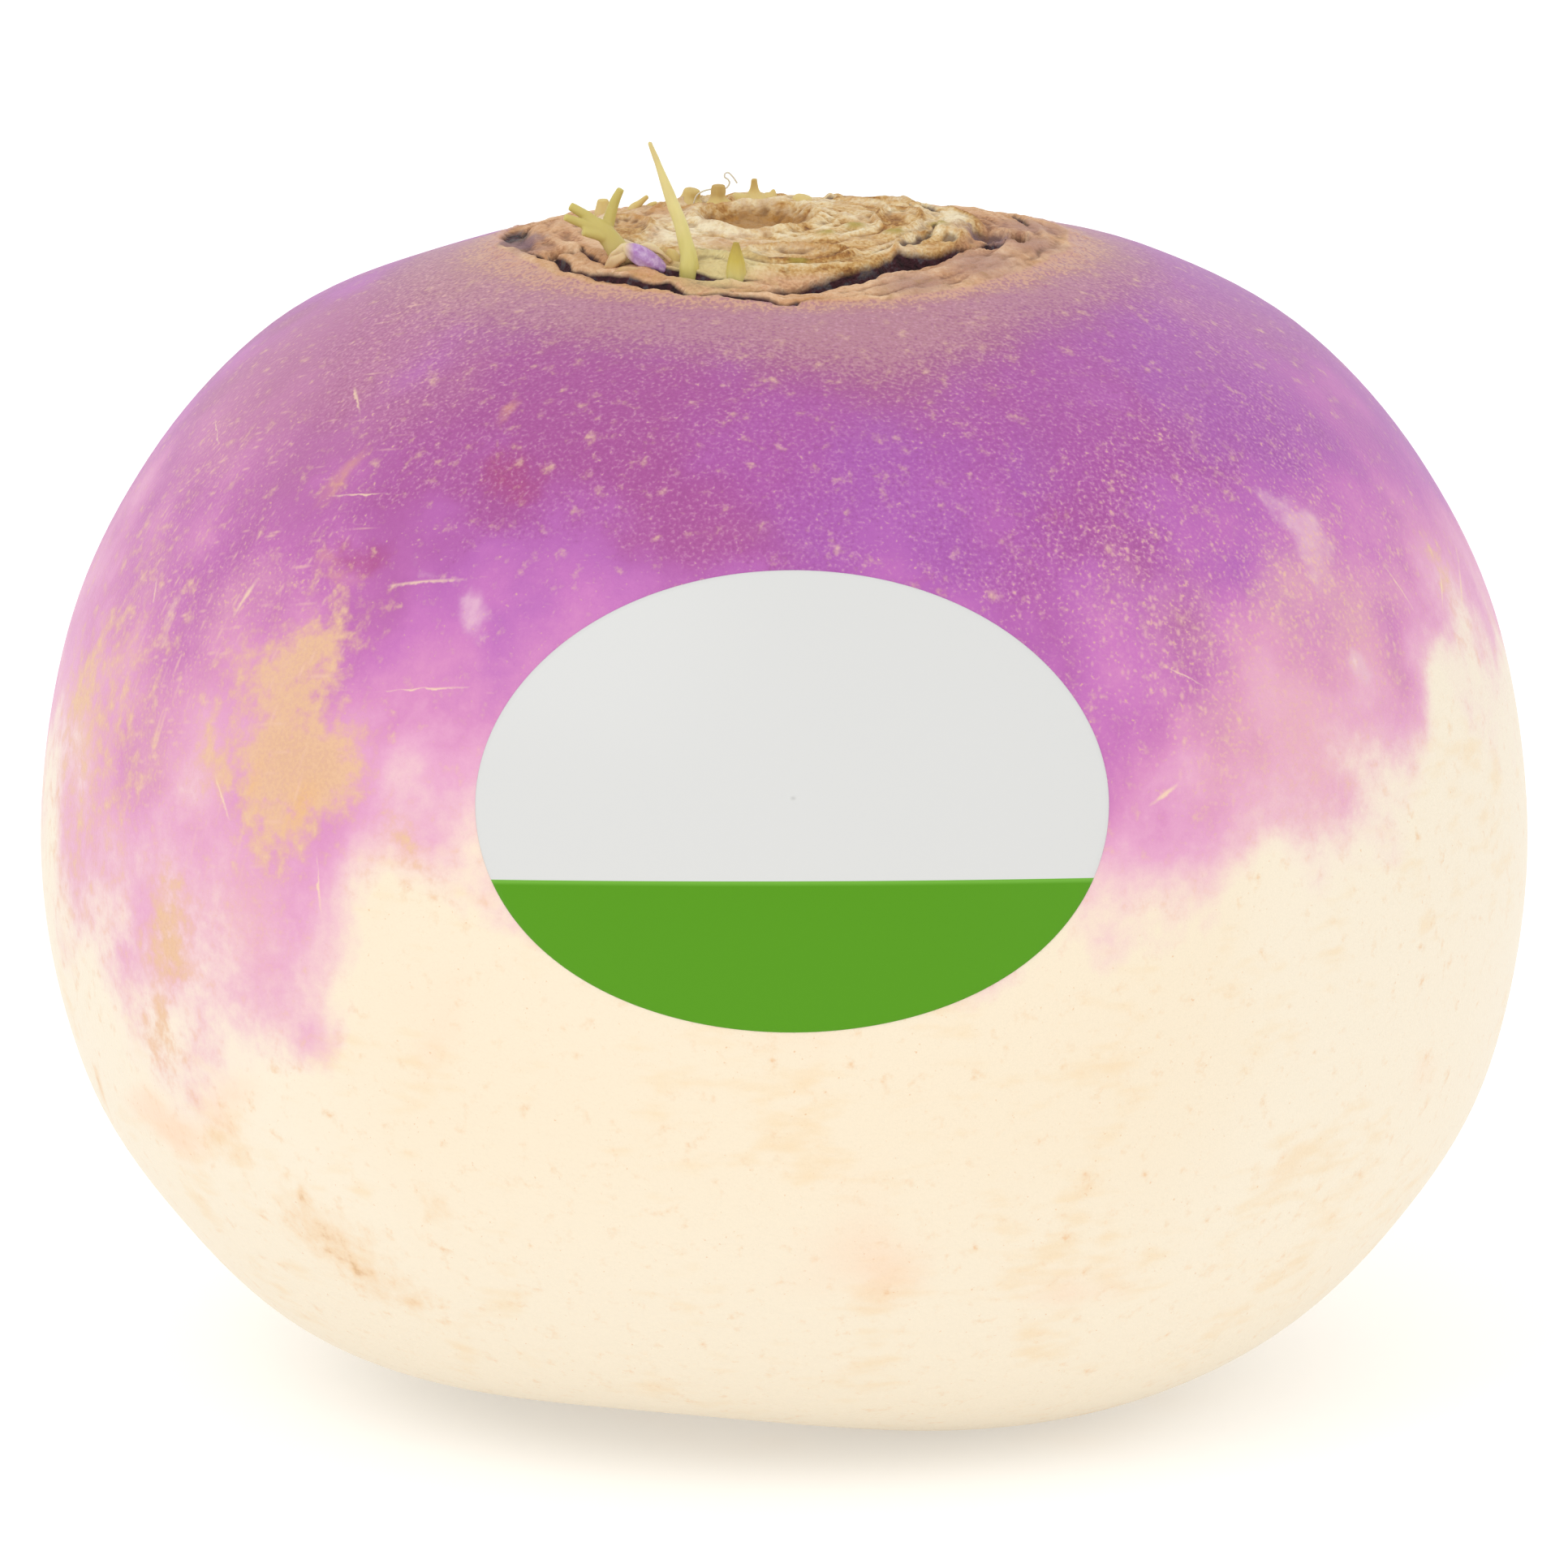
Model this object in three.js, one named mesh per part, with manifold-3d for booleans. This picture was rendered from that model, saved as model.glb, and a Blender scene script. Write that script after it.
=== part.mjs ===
// A purple-topped turnip, topped and tailed for sale, with young shoots on its crown and an oval label.
// Millimetres, +Z up, the label faces -Y. The origin is the middle of the cut end of the taproot.
import * as THREE from 'three';
import { mergeVertices } from 'three/addons/utils/BufferGeometryUtils.js';
import Module from 'manifold-3d';

const wasm = await Module();
wasm.setup();

const { degToRad, radToDeg, smoothstep } = THREE.MathUtils;

// ---------------------------------------------------------------- driving dimensions

// Swollen root: half outline as [radius, height], from the edge of the resting ring to the summit.
const rootOutline = [
  [12, 0], [24.6, 1.4], [35, 5.3], [42.4, 12.3], [47.7, 21.6], [50, 35.5], [48.2, 50],
  [43.2, 61], [36, 69.4], [27.6, 74.2], [19.5, 76.7], [10, 78.2], [0, 78.8],
];
const rowsPerSpan = [2, 2, 2, 2, 2, 2, 2, 2, 2, 3, 11, 11];
const rootSides = 88;
const depthToWidth = 0.97;
const rootMiddle = 38;

// Broad swellings and dents: direction from the root's middle, angular spread, and rise.
const swellings = [
  { azimuth: 180, tilt: -35, spread: 14, rise: -1.3 },
  { azimuth: -108, tilt: -60, spread: 17, rise: -1.3 },
  { azimuth: 181, tilt: -18.5, spread: 5, rise: -0.3 },
  { azimuth: 60, tilt: -30, spread: 30, rise: 0.8 },
  { azimuth: 100, tilt: 15, spread: 35, rise: -0.9 },
  { azimuth: -46, tilt: -52, spread: 21, rise: 1.1 },
  { azimuth: 152, tilt: 57, spread: 9, rise: -0.6 },
];
const groundedFrom = 12.5;
const groundedTo = 24;

// Underside: the cut taproot, the groove round it and the ring that the root rests on.
const taprootRadius = 2.6;
const grooveDepth = 1.6;
const grooveOuterDepth = 1.3;
const grooveInner = 3.6;
const grooveOuter = 7;
const restingRingInner = 8.5;

// Crown: the shoulder is high at the sides and low at the back.
const shoulderRadius = 19;
const shoulderSpread = 9;
const shoulderSaddle = 0.6;
const shoulderLean = 0.8;

// Crown: its middle, then the skin lip, the corky ledge and the raised disc of cut leaf bases.
const crownMiddle = { x: 0.1, y: -0.8 };
const skinLip = { radius: 19.7, width: 0.9, rise: 0.35 };
const ledge = { inner: 15.4, outer: 18.4, rise: 0.2, wave: 0.3, waves: 7 };
const disc = { inner: 13.9, outer: 15.2, rise: 0.35 };

// Crown: splits that run round it from one azimuth to another, with their radii on the way.
const crevices = [
  { from: -172, to: -104, radii: [17.9, 17.6, 17.8, 18.4, 18.9], width: 1.5, depth: 1.6 },
  { from: -186, to: -158, radii: [18.6, 18.1, 17.8], width: 1.7, depth: 1.3 },
  { from: -94, to: -12, radii: [17.4, 15.2, 14.7, 14.6, 15.0], width: 2.4, depth: 2.0 },
  { from: -14, to: 14, radii: [14.8, 16.4, 17.3], width: 1.7, depth: 1.3 },
  { from: -142, to: -72, radii: [16.4, 15.6, 14.7, 13.4], width: 1.5, depth: 1.0 },
  { from: 8, to: 46, radii: [12.2, 12.6, 13.5], width: 1.5, depth: 0.9 },
  { from: 62, to: 156, radii: [16.2, 16.6, 17.2], width: 1.7, depth: 1.2 },
];

// Crown: the ring left by the youngest leaves, with a shallow dish inside it.
const heartRing = { x: -1.3, y: -0.2, radius: 5.4, width: 0.8, rise: 0.3, dish: 0.9 };

// Crown: leaf scars, one every golden angle, further out each time.
const leafScar = {
  count: 9, turn: 137.5, firstRadius: 7.6, step: 0.75, halfLength: 2.6, halfWidth: 1.2, depth: 0.45,
};

// Stumps of dry leaf stalks, fused to the crown; tip is the width of the top against the foot's.
const stumps = [
  { x: -6.3, y: 6.7, radius: 0.4, height: 0.85, tip: 0.75 },
  { x: -4.4, y: 4.5, radius: 0.45, height: 1.35, tip: 0.85 },
  { x: -2.0, y: 7.1, radius: 0.4, height: 1.3, tip: 0.6 },
  { x: -0.8, y: 7.6, radius: 0.35, height: 0.55, tip: 0.5 },
  { x: -2.9, y: 6.6, radius: 0.5, height: 0.4, tip: 0.6 },
  { x: -12.1, y: 5.0, radius: 0.4, height: 0.75, tip: 0.7 },
  { x: -9.5, y: 4.5, radius: 0.35, height: 0.9, tip: 0.7 },
  { x: -7.4, y: -11.0, radius: 0.45, height: 0.75, tip: 0.6 },
];
const stumpSides = 7;
const stumpFoot = 1.25;
const stumpSink = 1.2;

// Shoots and buds: points of their axes, with heights above the crown at the foot, and radii on the way.
const tallShoot = {
  axis: [[-6.3, -12.7, -2.1], [-6.3, -12.7, 0], [-6.4, -12.7, 1.1], [-6.86, -12.7, 3.0],
    [-7.5, -12.7, 4.7], [-8.24, -12.7, 6.8], [-8.93, -12.7, 8.6]],
  radii: [0.62, 0.66, 0.54, 0.46, 0.4, 0.32, 0.3],
};
const forkedShoot = {
  axis: [[-11.3, -9.4, -2.1], [-11.4, -9.4, 0], [-11.55, -9.4, 0.9], [-12.0, -9.3, 2.0]],
  radii: [0.62, 0.66, 0.66, 0.45],
  fingers: [
    { axis: [[-11.9, -9.3, 1.6], [-13.1, -9.2, 2.4], [-14.1, -9.1, 3.0]], radii: [0.45, 0.4, 0.3] },
    { axis: [[-12.0, -9.5, 1.3], [-13.6, -9.9, 2.0], [-14.4, -10.2, 2.4]], radii: [0.42, 0.36, 0.3] },
    { axis: [[-11.6, -9.3, 1.0], [-11.3, -9.0, 2.9], [-10.9, -9.0, 3.9]], radii: [0.42, 0.38, 0.3] },
    { axis: [[-11.6, -9.5, 0.9], [-12.6, -9.8, 1.3], [-13.3, -10.0, 1.4]], radii: [0.42, 0.38, 0.3] },
  ],
};
const lilacBud = {
  axis: [[-9.0, -12.1, -2.1], [-9.0, -12.1, -0.4], [-9.0, -12.1, 0.4]],
  radii: [0.45, 0.45, 0.45],
  head: { x: -9.1, y: -12.1, lift: 0.65, length: 2.9, thickness: 1.5, slope: 33 },
};
const greenBud = {
  axis: [[-3.2, -13.6, -2.1], [-3.2, -13.6, 0], [-3.2, -13.6, 1.0], [-3.17, -13.6, 2.1]],
  radii: [0.55, 0.62, 0.52, 0.3],
};
const stemSides = 9;

// Sockets in the crown for the feet of the shoots and buds.
const seatGap = 0.3;
const socketDepth = 2.4;
const socketReach = 4;

// Label: an oval film that follows the root, measured along its surface from its middle.
// Its two ends droop a little, so that it is widest just below its middle.
const label = {
  azimuth: -89.3, height: 50.5, halfWidth: 21.4, halfHeight: 15.5, droop: 1.4,
  gap: 0.3, thickness: 0.3, sides: 40, rings: 4,
};
const probeStep = 0.5;
const outlineSamples = 600;

// ---------------------------------------------------------------- surface of the root

const outlinePoints = rootOutline.map(([radius, height]) => new THREE.Vector2(radius, height));
const outlineCurve = new THREE.SplineCurve(outlinePoints);
const swellingDirections = swellings.map(({ azimuth, tilt }) => directionAt(azimuth, tilt));

function directionAt(azimuth, tilt) {
  const level = Math.cos(degToRad(tilt));
  const around = degToRad(azimuth);
  return new THREE.Vector3(level * Math.cos(around), level * Math.sin(around), Math.sin(degToRad(tilt)));
}

// The angle from a to b, in degrees, between -180 and 180.
function turnBetween(a, b) {
  return THREE.MathUtils.euclideanModulo(b - a + 180, 360) - 180;
}

// The value at a place, from 0 to 1, along an evenly spaced list.
function valueAlong(list, along) {
  const spot = along * (list.length - 1);
  const low = Math.min(Math.floor(spot), list.length - 2);
  return THREE.MathUtils.lerp(list[low], list[low + 1], spot - low);
}

// A round hump: 1 at zero, falling to a third one width away.
function hump(distance, width) {
  return Math.exp(-((distance / width) ** 2));
}

// A point of the outline turned to an azimuth, made oval, then swelled and dented.
function rootPoint(radius, azimuth, height) {
  const x = radius * Math.cos(azimuth);
  const y = radius * Math.sin(azimuth) * depthToWidth;
  let z = height;
  if (height > rootMiddle) {
    const sway = shoulderSaddle * Math.cos(2 * azimuth) - shoulderLean * Math.sin(azimuth);
    z += hump(radius - shoulderRadius, shoulderSpread) * sway;
  }
  const fromMiddle = new THREE.Vector3(x, y, z - rootMiddle);
  const outwards = fromMiddle.clone().normalize();
  let rise = 0;
  swellings.forEach((swelling, index) => {
    const angle = radToDeg(outwards.angleTo(swellingDirections[index]));
    rise += swelling.rise * hump(angle, swelling.spread);
  });
  if (height < rootMiddle) rise *= smoothstep(radius, groundedFrom, groundedTo);
  fromMiddle.addScaledVector(outwards, rise);
  fromMiddle.z += rootMiddle;
  return fromMiddle;
}

// ---------------------------------------------------------------- relief of the crown

// A split tapers to nothing at both ends and has steep walls and a flat floor.
function creviceDepth(crevice, radius, azimuth) {
  const span = crevice.to - crevice.from;
  const along = turnBetween((crevice.from + crevice.to) / 2, azimuth) / span + 0.5;
  if (along <= 0 || along >= 1) return 0;
  const middle = valueAlong(crevice.radii, along);
  const opening = Math.sqrt(Math.sin(Math.PI * along));
  const across = (radius - middle) / (0.5 * crevice.width * opening);
  return crevice.depth * opening / (1 + across ** 6);
}

function leafScarDepth(x, y) {
  let depth = 0;
  for (let index = 0; index < leafScar.count; index += 1) {
    const around = degToRad(index * leafScar.turn);
    const out = leafScar.firstRadius + leafScar.step * index;
    const across = (x * Math.cos(around) + y * Math.sin(around) - out) / leafScar.halfWidth;
    const along = (y * Math.cos(around) - x * Math.sin(around)) / leafScar.halfLength;
    const reach = across ** 2 + along ** 2;
    depth += leafScar.depth * (hump(reach, 1) - 0.6 * hump(Math.sqrt(reach) - 1.35, 0.3));
  }
  return depth;
}

function heartRise(x, y) {
  const out = Math.hypot(x - heartRing.x, y - heartRing.y);
  const inside = 1 - smoothstep(out, heartRing.radius - 2.2, heartRing.radius);
  return heartRing.rise * hump(out - heartRing.radius, heartRing.width) - heartRing.dish * inside;
}

// Height that the crown's relief adds at a place.
function crownRelief(x, y) {
  const fromMiddleX = x - crownMiddle.x;
  const fromMiddleY = y - crownMiddle.y;
  const radius = Math.hypot(fromMiddleX, fromMiddleY / depthToWidth);
  const azimuth = radToDeg(Math.atan2(fromMiddleY, fromMiddleX));
  const onDisc = 1 - smoothstep(radius, disc.inner, disc.outer);
  const offLedge = smoothstep(radius, ledge.outer, ledge.outer + 0.7);
  const onLedge = smoothstep(radius, ledge.inner - 0.6, ledge.inner) * (1 - offLedge);
  const wave = ledge.wave * Math.sin(degToRad(azimuth * ledge.waves) + radius);
  let rise = onDisc * (disc.rise - leafScarDepth(fromMiddleX, fromMiddleY) + heartRise(x, y));
  rise += onLedge * (ledge.rise + wave) + skinLip.rise * hump(radius - skinLip.radius, skinLip.width);
  for (const crevice of crevices) rise -= creviceDepth(crevice, radius, azimuth);
  return rise;
}

// Height of the crown without its relief: the outline's height where its radius is the place's.
function smoothCrownHeight(x, y) {
  const radius = Math.hypot(x, y / depthToWidth);
  const azimuth = Math.atan2(y / depthToWidth, x);
  let low = 0.7;
  let high = 1;
  for (let halving = 0; halving < 30; halving += 1) {
    const middle = (low + high) / 2;
    if (outlineCurve.getPoint(middle).x > radius) low = middle;
    else high = middle;
  }
  return rootPoint(radius, azimuth, outlineCurve.getPoint(low).y).z;
}

// Where a shoot or a stump stands: on the disc, whatever scar or split lies there.
function groundAt(x, y) {
  return smoothCrownHeight(x, y) + disc.rise;
}

// ---------------------------------------------------------------- building helpers

// A lathe turned to +Z up, each vertex then moved by place(radius, azimuth, height).
function mappedLathe(profile, sides, place) {
  const geometry = new THREE.LatheGeometry(profile, sides);
  geometry.deleteAttribute('normal');
  geometry.deleteAttribute('uv');
  const position = geometry.attributes.position;
  for (let index = 0; index < position.count; index += 1) {
    const x = position.getX(index);
    const z = position.getZ(index);
    const spot = place(Math.hypot(x, z), Math.atan2(-z, x), position.getY(index));
    position.setXYZ(index, spot.x, spot.y, spot.z);
  }
  return closed(geometry);
}

// Welds the seam and the poles, and drops the triangles that the poles flatten.
function closed(geometry) {
  const welded = mergeVertices(geometry, 1e-4);
  const corners = welded.index.array;
  const kept = [];
  for (let index = 0; index < corners.length; index += 3) {
    const [a, b, c] = corners.slice(index, index + 3);
    if (a !== b && b !== c && c !== a) kept.push(a, b, c);
  }
  welded.setIndex(kept);
  return welded;
}

function solidOf(geometry) {
  const vertProperties = new Float32Array(geometry.attributes.position.array);
  const triVerts = new Uint32Array(geometry.index.array);
  return new wasm.Manifold(new wasm.Mesh({ numProp: 3, vertProperties, triVerts }));
}

function geometryOf(solid) {
  const mesh = solid.getMesh();
  const geometry = new THREE.BufferGeometry();
  geometry.setAttribute('position', new THREE.BufferAttribute(mesh.vertProperties, 3));
  geometry.setIndex(new THREE.BufferAttribute(mesh.triVerts, 1));
  return geometry;
}

function joined(geometries) {
  return geometries.map(solidOf).reduce((whole, piece) => whole.add(piece));
}

// A stem: a lathe whose axis is bent along a curve that starts above the given ground.
function stem({ axis, radii }, ground) {
  const curve = new THREE.CatmullRomCurve3(axis.map(([x, y, z]) => new THREE.Vector3(x, y, z + ground)));
  const steps = 2 * (axis.length - 1);
  const profile = [new THREE.Vector2(0, 0)];
  for (let step = 0; step <= steps; step += 1) {
    profile.push(new THREE.Vector2(valueAlong(radii, step / steps), step / steps));
  }
  profile.push(new THREE.Vector2(0, 1));
  return mappedLathe(profile, stemSides, (radius, azimuth, along) => {
    const tangent = curve.getTangent(along);
    const side = new THREE.Vector3(0, 1, 0).cross(tangent).normalize();
    const front = tangent.clone().cross(side);
    return curve.getPoint(along)
      .addScaledVector(side, radius * Math.cos(azimuth))
      .addScaledVector(front, radius * Math.sin(azimuth));
  });
}

// Ground under the foot of a shoot or bud.
function groundUnder({ axis }) {
  return groundAt(axis[0][0], axis[0][1]);
}

// ---------------------------------------------------------------- the pieces

function bareRoot() {
  const profile = [
    new THREE.Vector2(0, 0),
    new THREE.Vector2(taprootRadius, 0),
    new THREE.Vector2(grooveInner, grooveDepth),
    new THREE.Vector2(grooveOuter, grooveOuterDepth),
    new THREE.Vector2(restingRingInner, 0),
  ];
  rowsPerSpan.forEach((rows, span) => {
    for (let row = 0; row < rows; row += 1) {
      profile.push(outlineCurve.getPoint((span + row / rows) / rowsPerSpan.length));
    }
  });
  profile.push(outlineCurve.getPoint(1));
  return mappedLathe(profile, rootSides, (radius, azimuth, height) => {
    const point = rootPoint(radius, azimuth, Math.max(height, 0));
    if (height > rootMiddle) point.z += crownRelief(point.x, point.y);
    return point;
  });
}

function stump({ x, y, radius, height, tip }) {
  const foot = groundAt(x, y);
  const profile = [
    new THREE.Vector2(0, foot - stumpSink),
    new THREE.Vector2(radius * stumpFoot, foot - stumpSink),
    new THREE.Vector2(radius * stumpFoot, foot),
    new THREE.Vector2(radius, foot + 0.5 * height),
    new THREE.Vector2(radius * tip, foot + height),
    new THREE.Vector2(0, foot + height),
  ];
  return mappedLathe(profile, stumpSides, (out, azimuth, z) => (
    new THREE.Vector3(x + out * Math.cos(azimuth), y + out * Math.sin(azimuth), z)
  ));
}

// A plain round hole that leaves the seat gap round the buried foot of a stem.
function socket(foot) {
  const [x, y] = foot.axis[0];
  const radius = Math.max(...foot.radii) + seatGap;
  const bottom = groundUnder(foot) - socketDepth;
  const profile = [
    new THREE.Vector2(0, bottom),
    new THREE.Vector2(radius, bottom),
    new THREE.Vector2(radius, bottom + socketReach),
    new THREE.Vector2(0, bottom + socketReach),
  ];
  return mappedLathe(profile, stemSides, (out, azimuth, z) => (
    new THREE.Vector3(x + out * Math.cos(azimuth), y + out * Math.sin(azimuth), z)
  ));
}

// The lilac bud's egg-shaped head, or the hollow that it lies in when grown by the seat gap.
function budHead(grow) {
  const { x, y, lift, length, thickness, slope } = lilacBud.head;
  const head = new THREE.SphereGeometry(0.5, 12, 8);
  head.scale(length + 2 * grow, thickness + 2 * grow, thickness + 2 * grow);
  head.rotateY(degToRad(slope));
  head.translate(x, y, groundUnder(lilacBud) + lift);
  head.deleteAttribute('normal');
  head.deleteAttribute('uv');
  return closed(head);
}

function swollenRoot() {
  let root = joined([bareRoot(), ...stumps.map(stump)]);
  const hollows = [tallShoot, forkedShoot, lilacBud, greenBud].map(socket);
  for (const hollow of [...hollows, budHead(seatGap)]) root = root.subtract(solidOf(hollow));
  return geometryOf(root);
}

function forkedShootGeometry() {
  const ground = groundUnder(forkedShoot);
  const branches = [forkedShoot, ...forkedShoot.fingers];
  return geometryOf(joined(branches.map((branch) => stem(branch, ground))));
}

function lilacBudGeometry() {
  return geometryOf(joined([budHead(0), stem(lilacBud, groundUnder(lilacBud))]));
}

// The label is a thin oval disc whose flat place maps to distances along and round the root.
function labelGeometry() {
  const lengths = outlineCurve.getLengths(outlineSamples);
  const whole = lengths[lengths.length - 1];
  const isAbove = (_, index) => outlineCurve.getPoint(index / outlineSamples).y > label.height;
  const middle = lengths[lengths.findIndex(isAbove)];
  const profile = [];
  for (let ring = 0; ring <= label.rings; ring += 1) profile.push(new THREE.Vector2(ring / label.rings, 0));
  for (let ring = label.rings; ring >= 0; ring -= 1) profile.push(new THREE.Vector2(ring / label.rings, 1));

  const surface = (across, up) => {
    const spot = outlineCurve.getPointAt((middle + up) / whole);
    return rootPoint(spot.x, degToRad(label.azimuth) + across / spot.x, spot.y);
  };
  return mappedLathe(profile, label.sides, (out, azimuth, layer) => {
    const level = out * Math.cos(azimuth);
    const across = level * label.halfWidth;
    const up = out * Math.sin(azimuth) * label.halfHeight - label.droop * level ** 2;
    const point = surface(across, up);
    const right = surface(across + probeStep, up).sub(point);
    const above = surface(across, up + probeStep).sub(point);
    const outwards = right.cross(above).normalize();
    return point.addScaledVector(outwards, label.gap + layer * label.thickness);
  });
}

// ---------------------------------------------------------------- materials and assembly

const finishes = {
  rootSkin: new THREE.MeshStandardMaterial({ color: '#c48fae', roughness: 0.55, metalness: 0 }),
  youngShoot: new THREE.MeshStandardMaterial({ color: '#d3c86e', roughness: 0.5, metalness: 0 }),
  forkedShoot: new THREE.MeshStandardMaterial({ color: '#ccb46b', roughness: 0.55, metalness: 0 }),
  lilacPetal: new THREE.MeshStandardMaterial({ color: '#bc8ea5', roughness: 0.55, metalness: 0 }),
  greenBud: new THREE.MeshStandardMaterial({ color: '#cab15c', roughness: 0.55, metalness: 0 }),
  labelFilm: new THREE.MeshStandardMaterial({ color: '#e4e3e1', roughness: 0.35, metalness: 0 }),
};

function piece(name, geometry, material) {
  const mesh = new THREE.Mesh(geometry, material);
  mesh.name = name;
  return mesh;
}

const turnip = new THREE.Group();
turnip.add(
  piece('turnip_root', swollenRoot(), finishes.rootSkin),
  piece('shoot_tall', stem(tallShoot, groundUnder(tallShoot)), finishes.youngShoot),
  piece('shoot_forked', forkedShootGeometry(), finishes.forkedShoot),
  piece('bud_lilac', lilacBudGeometry(), finishes.lilacPetal),
  piece('bud_green', stem(greenBud, groundUnder(greenBud)), finishes.greenBud),
  piece('label', labelGeometry(), finishes.labelFilm),
);

export default turnip;
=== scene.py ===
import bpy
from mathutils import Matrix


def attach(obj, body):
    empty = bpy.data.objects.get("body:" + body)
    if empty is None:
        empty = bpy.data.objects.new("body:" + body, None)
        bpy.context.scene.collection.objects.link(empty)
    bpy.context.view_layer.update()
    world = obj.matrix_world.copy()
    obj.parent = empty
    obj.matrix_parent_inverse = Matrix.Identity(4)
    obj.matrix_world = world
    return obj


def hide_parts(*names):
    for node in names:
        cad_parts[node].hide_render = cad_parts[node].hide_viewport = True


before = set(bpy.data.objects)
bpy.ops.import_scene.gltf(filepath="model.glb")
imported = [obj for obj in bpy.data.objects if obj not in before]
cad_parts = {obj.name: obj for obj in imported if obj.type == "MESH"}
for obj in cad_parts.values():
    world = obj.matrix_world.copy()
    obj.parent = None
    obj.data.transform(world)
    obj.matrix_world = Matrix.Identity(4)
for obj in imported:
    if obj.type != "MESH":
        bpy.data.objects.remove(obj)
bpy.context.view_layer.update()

import itertools
import math

import bpy
import numpy as np
from mathutils import Matrix, Vector

mm = 0.001


# small tools

def linearColour(hexColour):
    # sRGB hex to linear red, green, blue and a full alpha
    channels = [int(hexColour[i:i + 2], 16) / 255 for i in (1, 3, 5)]
    return [c / 12.92 if c <= 0.04045 else ((c + 0.055) / 1.055) ** 2.4 for c in channels] + [1.0]


def smooth(value, low, high):
    # 0 below low, 1 above high, an S-shaped rise between them; low may be the larger
    t = np.clip((value - low) / (high - low), 0, 1)
    return t * t * (3 - 2 * t)


def hump(distance, width):
    # 1 at zero, falling to a third one width away
    return np.exp(-(distance / width) ** 2)


def turnFrom(azimuth, towards):
    # degrees from one azimuth to another, between -180 and 180
    return (azimuth - towards + 180) % 360 - 180


def noiseAt(points, cell, seed, octaves=3):
    # random numbers on a cubic lattice, blended smoothly; each octave halves the cell and the weight
    table = np.random.default_rng(seed).random((48, 48, 48))
    total = np.zeros(points.shape[:-1])
    for octave in range(octaves):
        place = points * 2 ** octave / cell + 11.7 * (octave + 1)
        base = np.floor(place).astype(int)
        part = place - base
        part = part * part * (3 - 2 * part)
        for corner in itertools.product((0, 1), repeat=3):
            index = (base + corner) % 48
            weight = np.prod(np.where(np.array(corner), part, 1 - part), axis=-1)
            total += weight * table[index[..., 0], index[..., 1], index[..., 2]] / 2 ** octave
    return total / (2 - 2 ** (1 - octaves))


def catmull(points, steps):
    # smooth curve through the points: the uniform Catmull-Rom spline, the same as the solids use
    points = np.asarray(points, float)
    spans = len(points) - 1
    t = np.linspace(0, spans, steps)
    i = np.minimum(t.astype(int), spans - 1)
    w = (t - i)[:, None]
    p0, p1 = points[np.maximum(i - 1, 0)], points[i]
    p2, p3 = points[i + 1], points[np.minimum(i + 2, spans)]
    v0, v1 = (p2 - p0) / 2, (p3 - p1) / 2
    return (2 * p1 - 2 * p2 + v0 + v1) * w ** 3 + (3 * p2 - 3 * p1 - 2 * v0 - v1) * w ** 2 + v0 * w + p1


def gridPiece(name, rings, material, attributes=None):
    # rings: rows x columns x 3 in mm, each row a closed loop, the first and last rows shrunk to a pole
    rows, columns = rings.shape[:2]
    count = rows * columns
    poles = [rings[0].mean(0), rings[-1].mean(0)]
    vertices = np.concatenate([rings.reshape(-1, 3), poles]) * mm
    row, column = np.meshgrid(np.arange(rows - 1), np.arange(columns), indexing="ij")
    nextColumn = (column + 1) % columns
    quads = np.stack([row * columns + column, row * columns + nextColumn,
                      (row + 1) * columns + nextColumn, (row + 1) * columns + column], -1).reshape(-1, 4)
    around = np.arange(columns)
    onward = (around + 1) % columns
    start = np.stack([np.full(columns, count), onward, around], -1)
    last = (rows - 1) * columns
    end = np.stack([np.full(columns, count + 1), last + around, last + onward], -1)
    mesh = bpy.data.meshes.new(name)
    mesh.from_pydata(vertices, [], quads.tolist() + start.tolist() + end.tolist(), shade_flat=False)
    for key, values in (attributes or {}).items():
        data = np.concatenate([values.reshape(-1), [values[0].mean(), values[-1].mean()]])
        mesh.attributes.new(key, "FLOAT", "POINT").data.foreach_set("value", data.astype(np.float32))
    piece = bpy.data.objects.new(name, mesh)
    bpy.context.scene.collection.objects.link(piece)
    mesh.materials.append(material)
    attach(piece, "root")
    return piece


def addNode(tree, kind, settings=None, links=None):
    # settings: stops fill a colour ramp, socket names or numbers get default values, and anything else is a
    # property of the node; links: input to the socket that feeds it, or to a node whose first output does
    node = tree.nodes.new("ShaderNode" + kind)
    for key, value in (settings or {}).items():
        if key == "stops":
            ramp = node.color_ramp
            while len(ramp.elements) < len(value):
                ramp.elements.new(1)
            for element, (position, colour) in zip(ramp.elements, value):
                element.position = position
                element.color = linearColour(colour)
        elif isinstance(key, int) or key in node.inputs:
            node.inputs[key].default_value = value
        else:
            setattr(node, key, value)
    for socket, source in (links or {}).items():
        tree.links.new(getattr(source, "outputs", [source])[0], node.inputs[socket])
    return node


def newMaterial(name, settings):
    # a Principled surface with its plain values set on its own sockets
    material = bpy.data.materials.new(name)
    material.use_nodes = True
    tree = material.node_tree
    tree.nodes.clear()
    shader = addNode(tree, "BsdfPrincipled", settings)
    addNode(tree, "OutputMaterial", {}, {"Surface": shader.outputs["BSDF"]})
    return material, tree, shader


def perMetre(millimetres):
    # texture scale that gives cells of this size
    return 1 / (millimetres * mm)


# camera, light and floor

view = {"elevation": 14.0, "distance": 1500.0, "lookHeight": 39.84, "frameWidth": 105.46, "sensor": 36.0,
        "near": 0.05, "far": 50.0}
light = {"world": 0.98, "key": 4.0, "keySize": 900.0, "keyFrom": (-700, -900, 1100),
         "fill": 1.0, "fillSize": 1100.0, "fillFrom": (900, -700, 500)}

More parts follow.
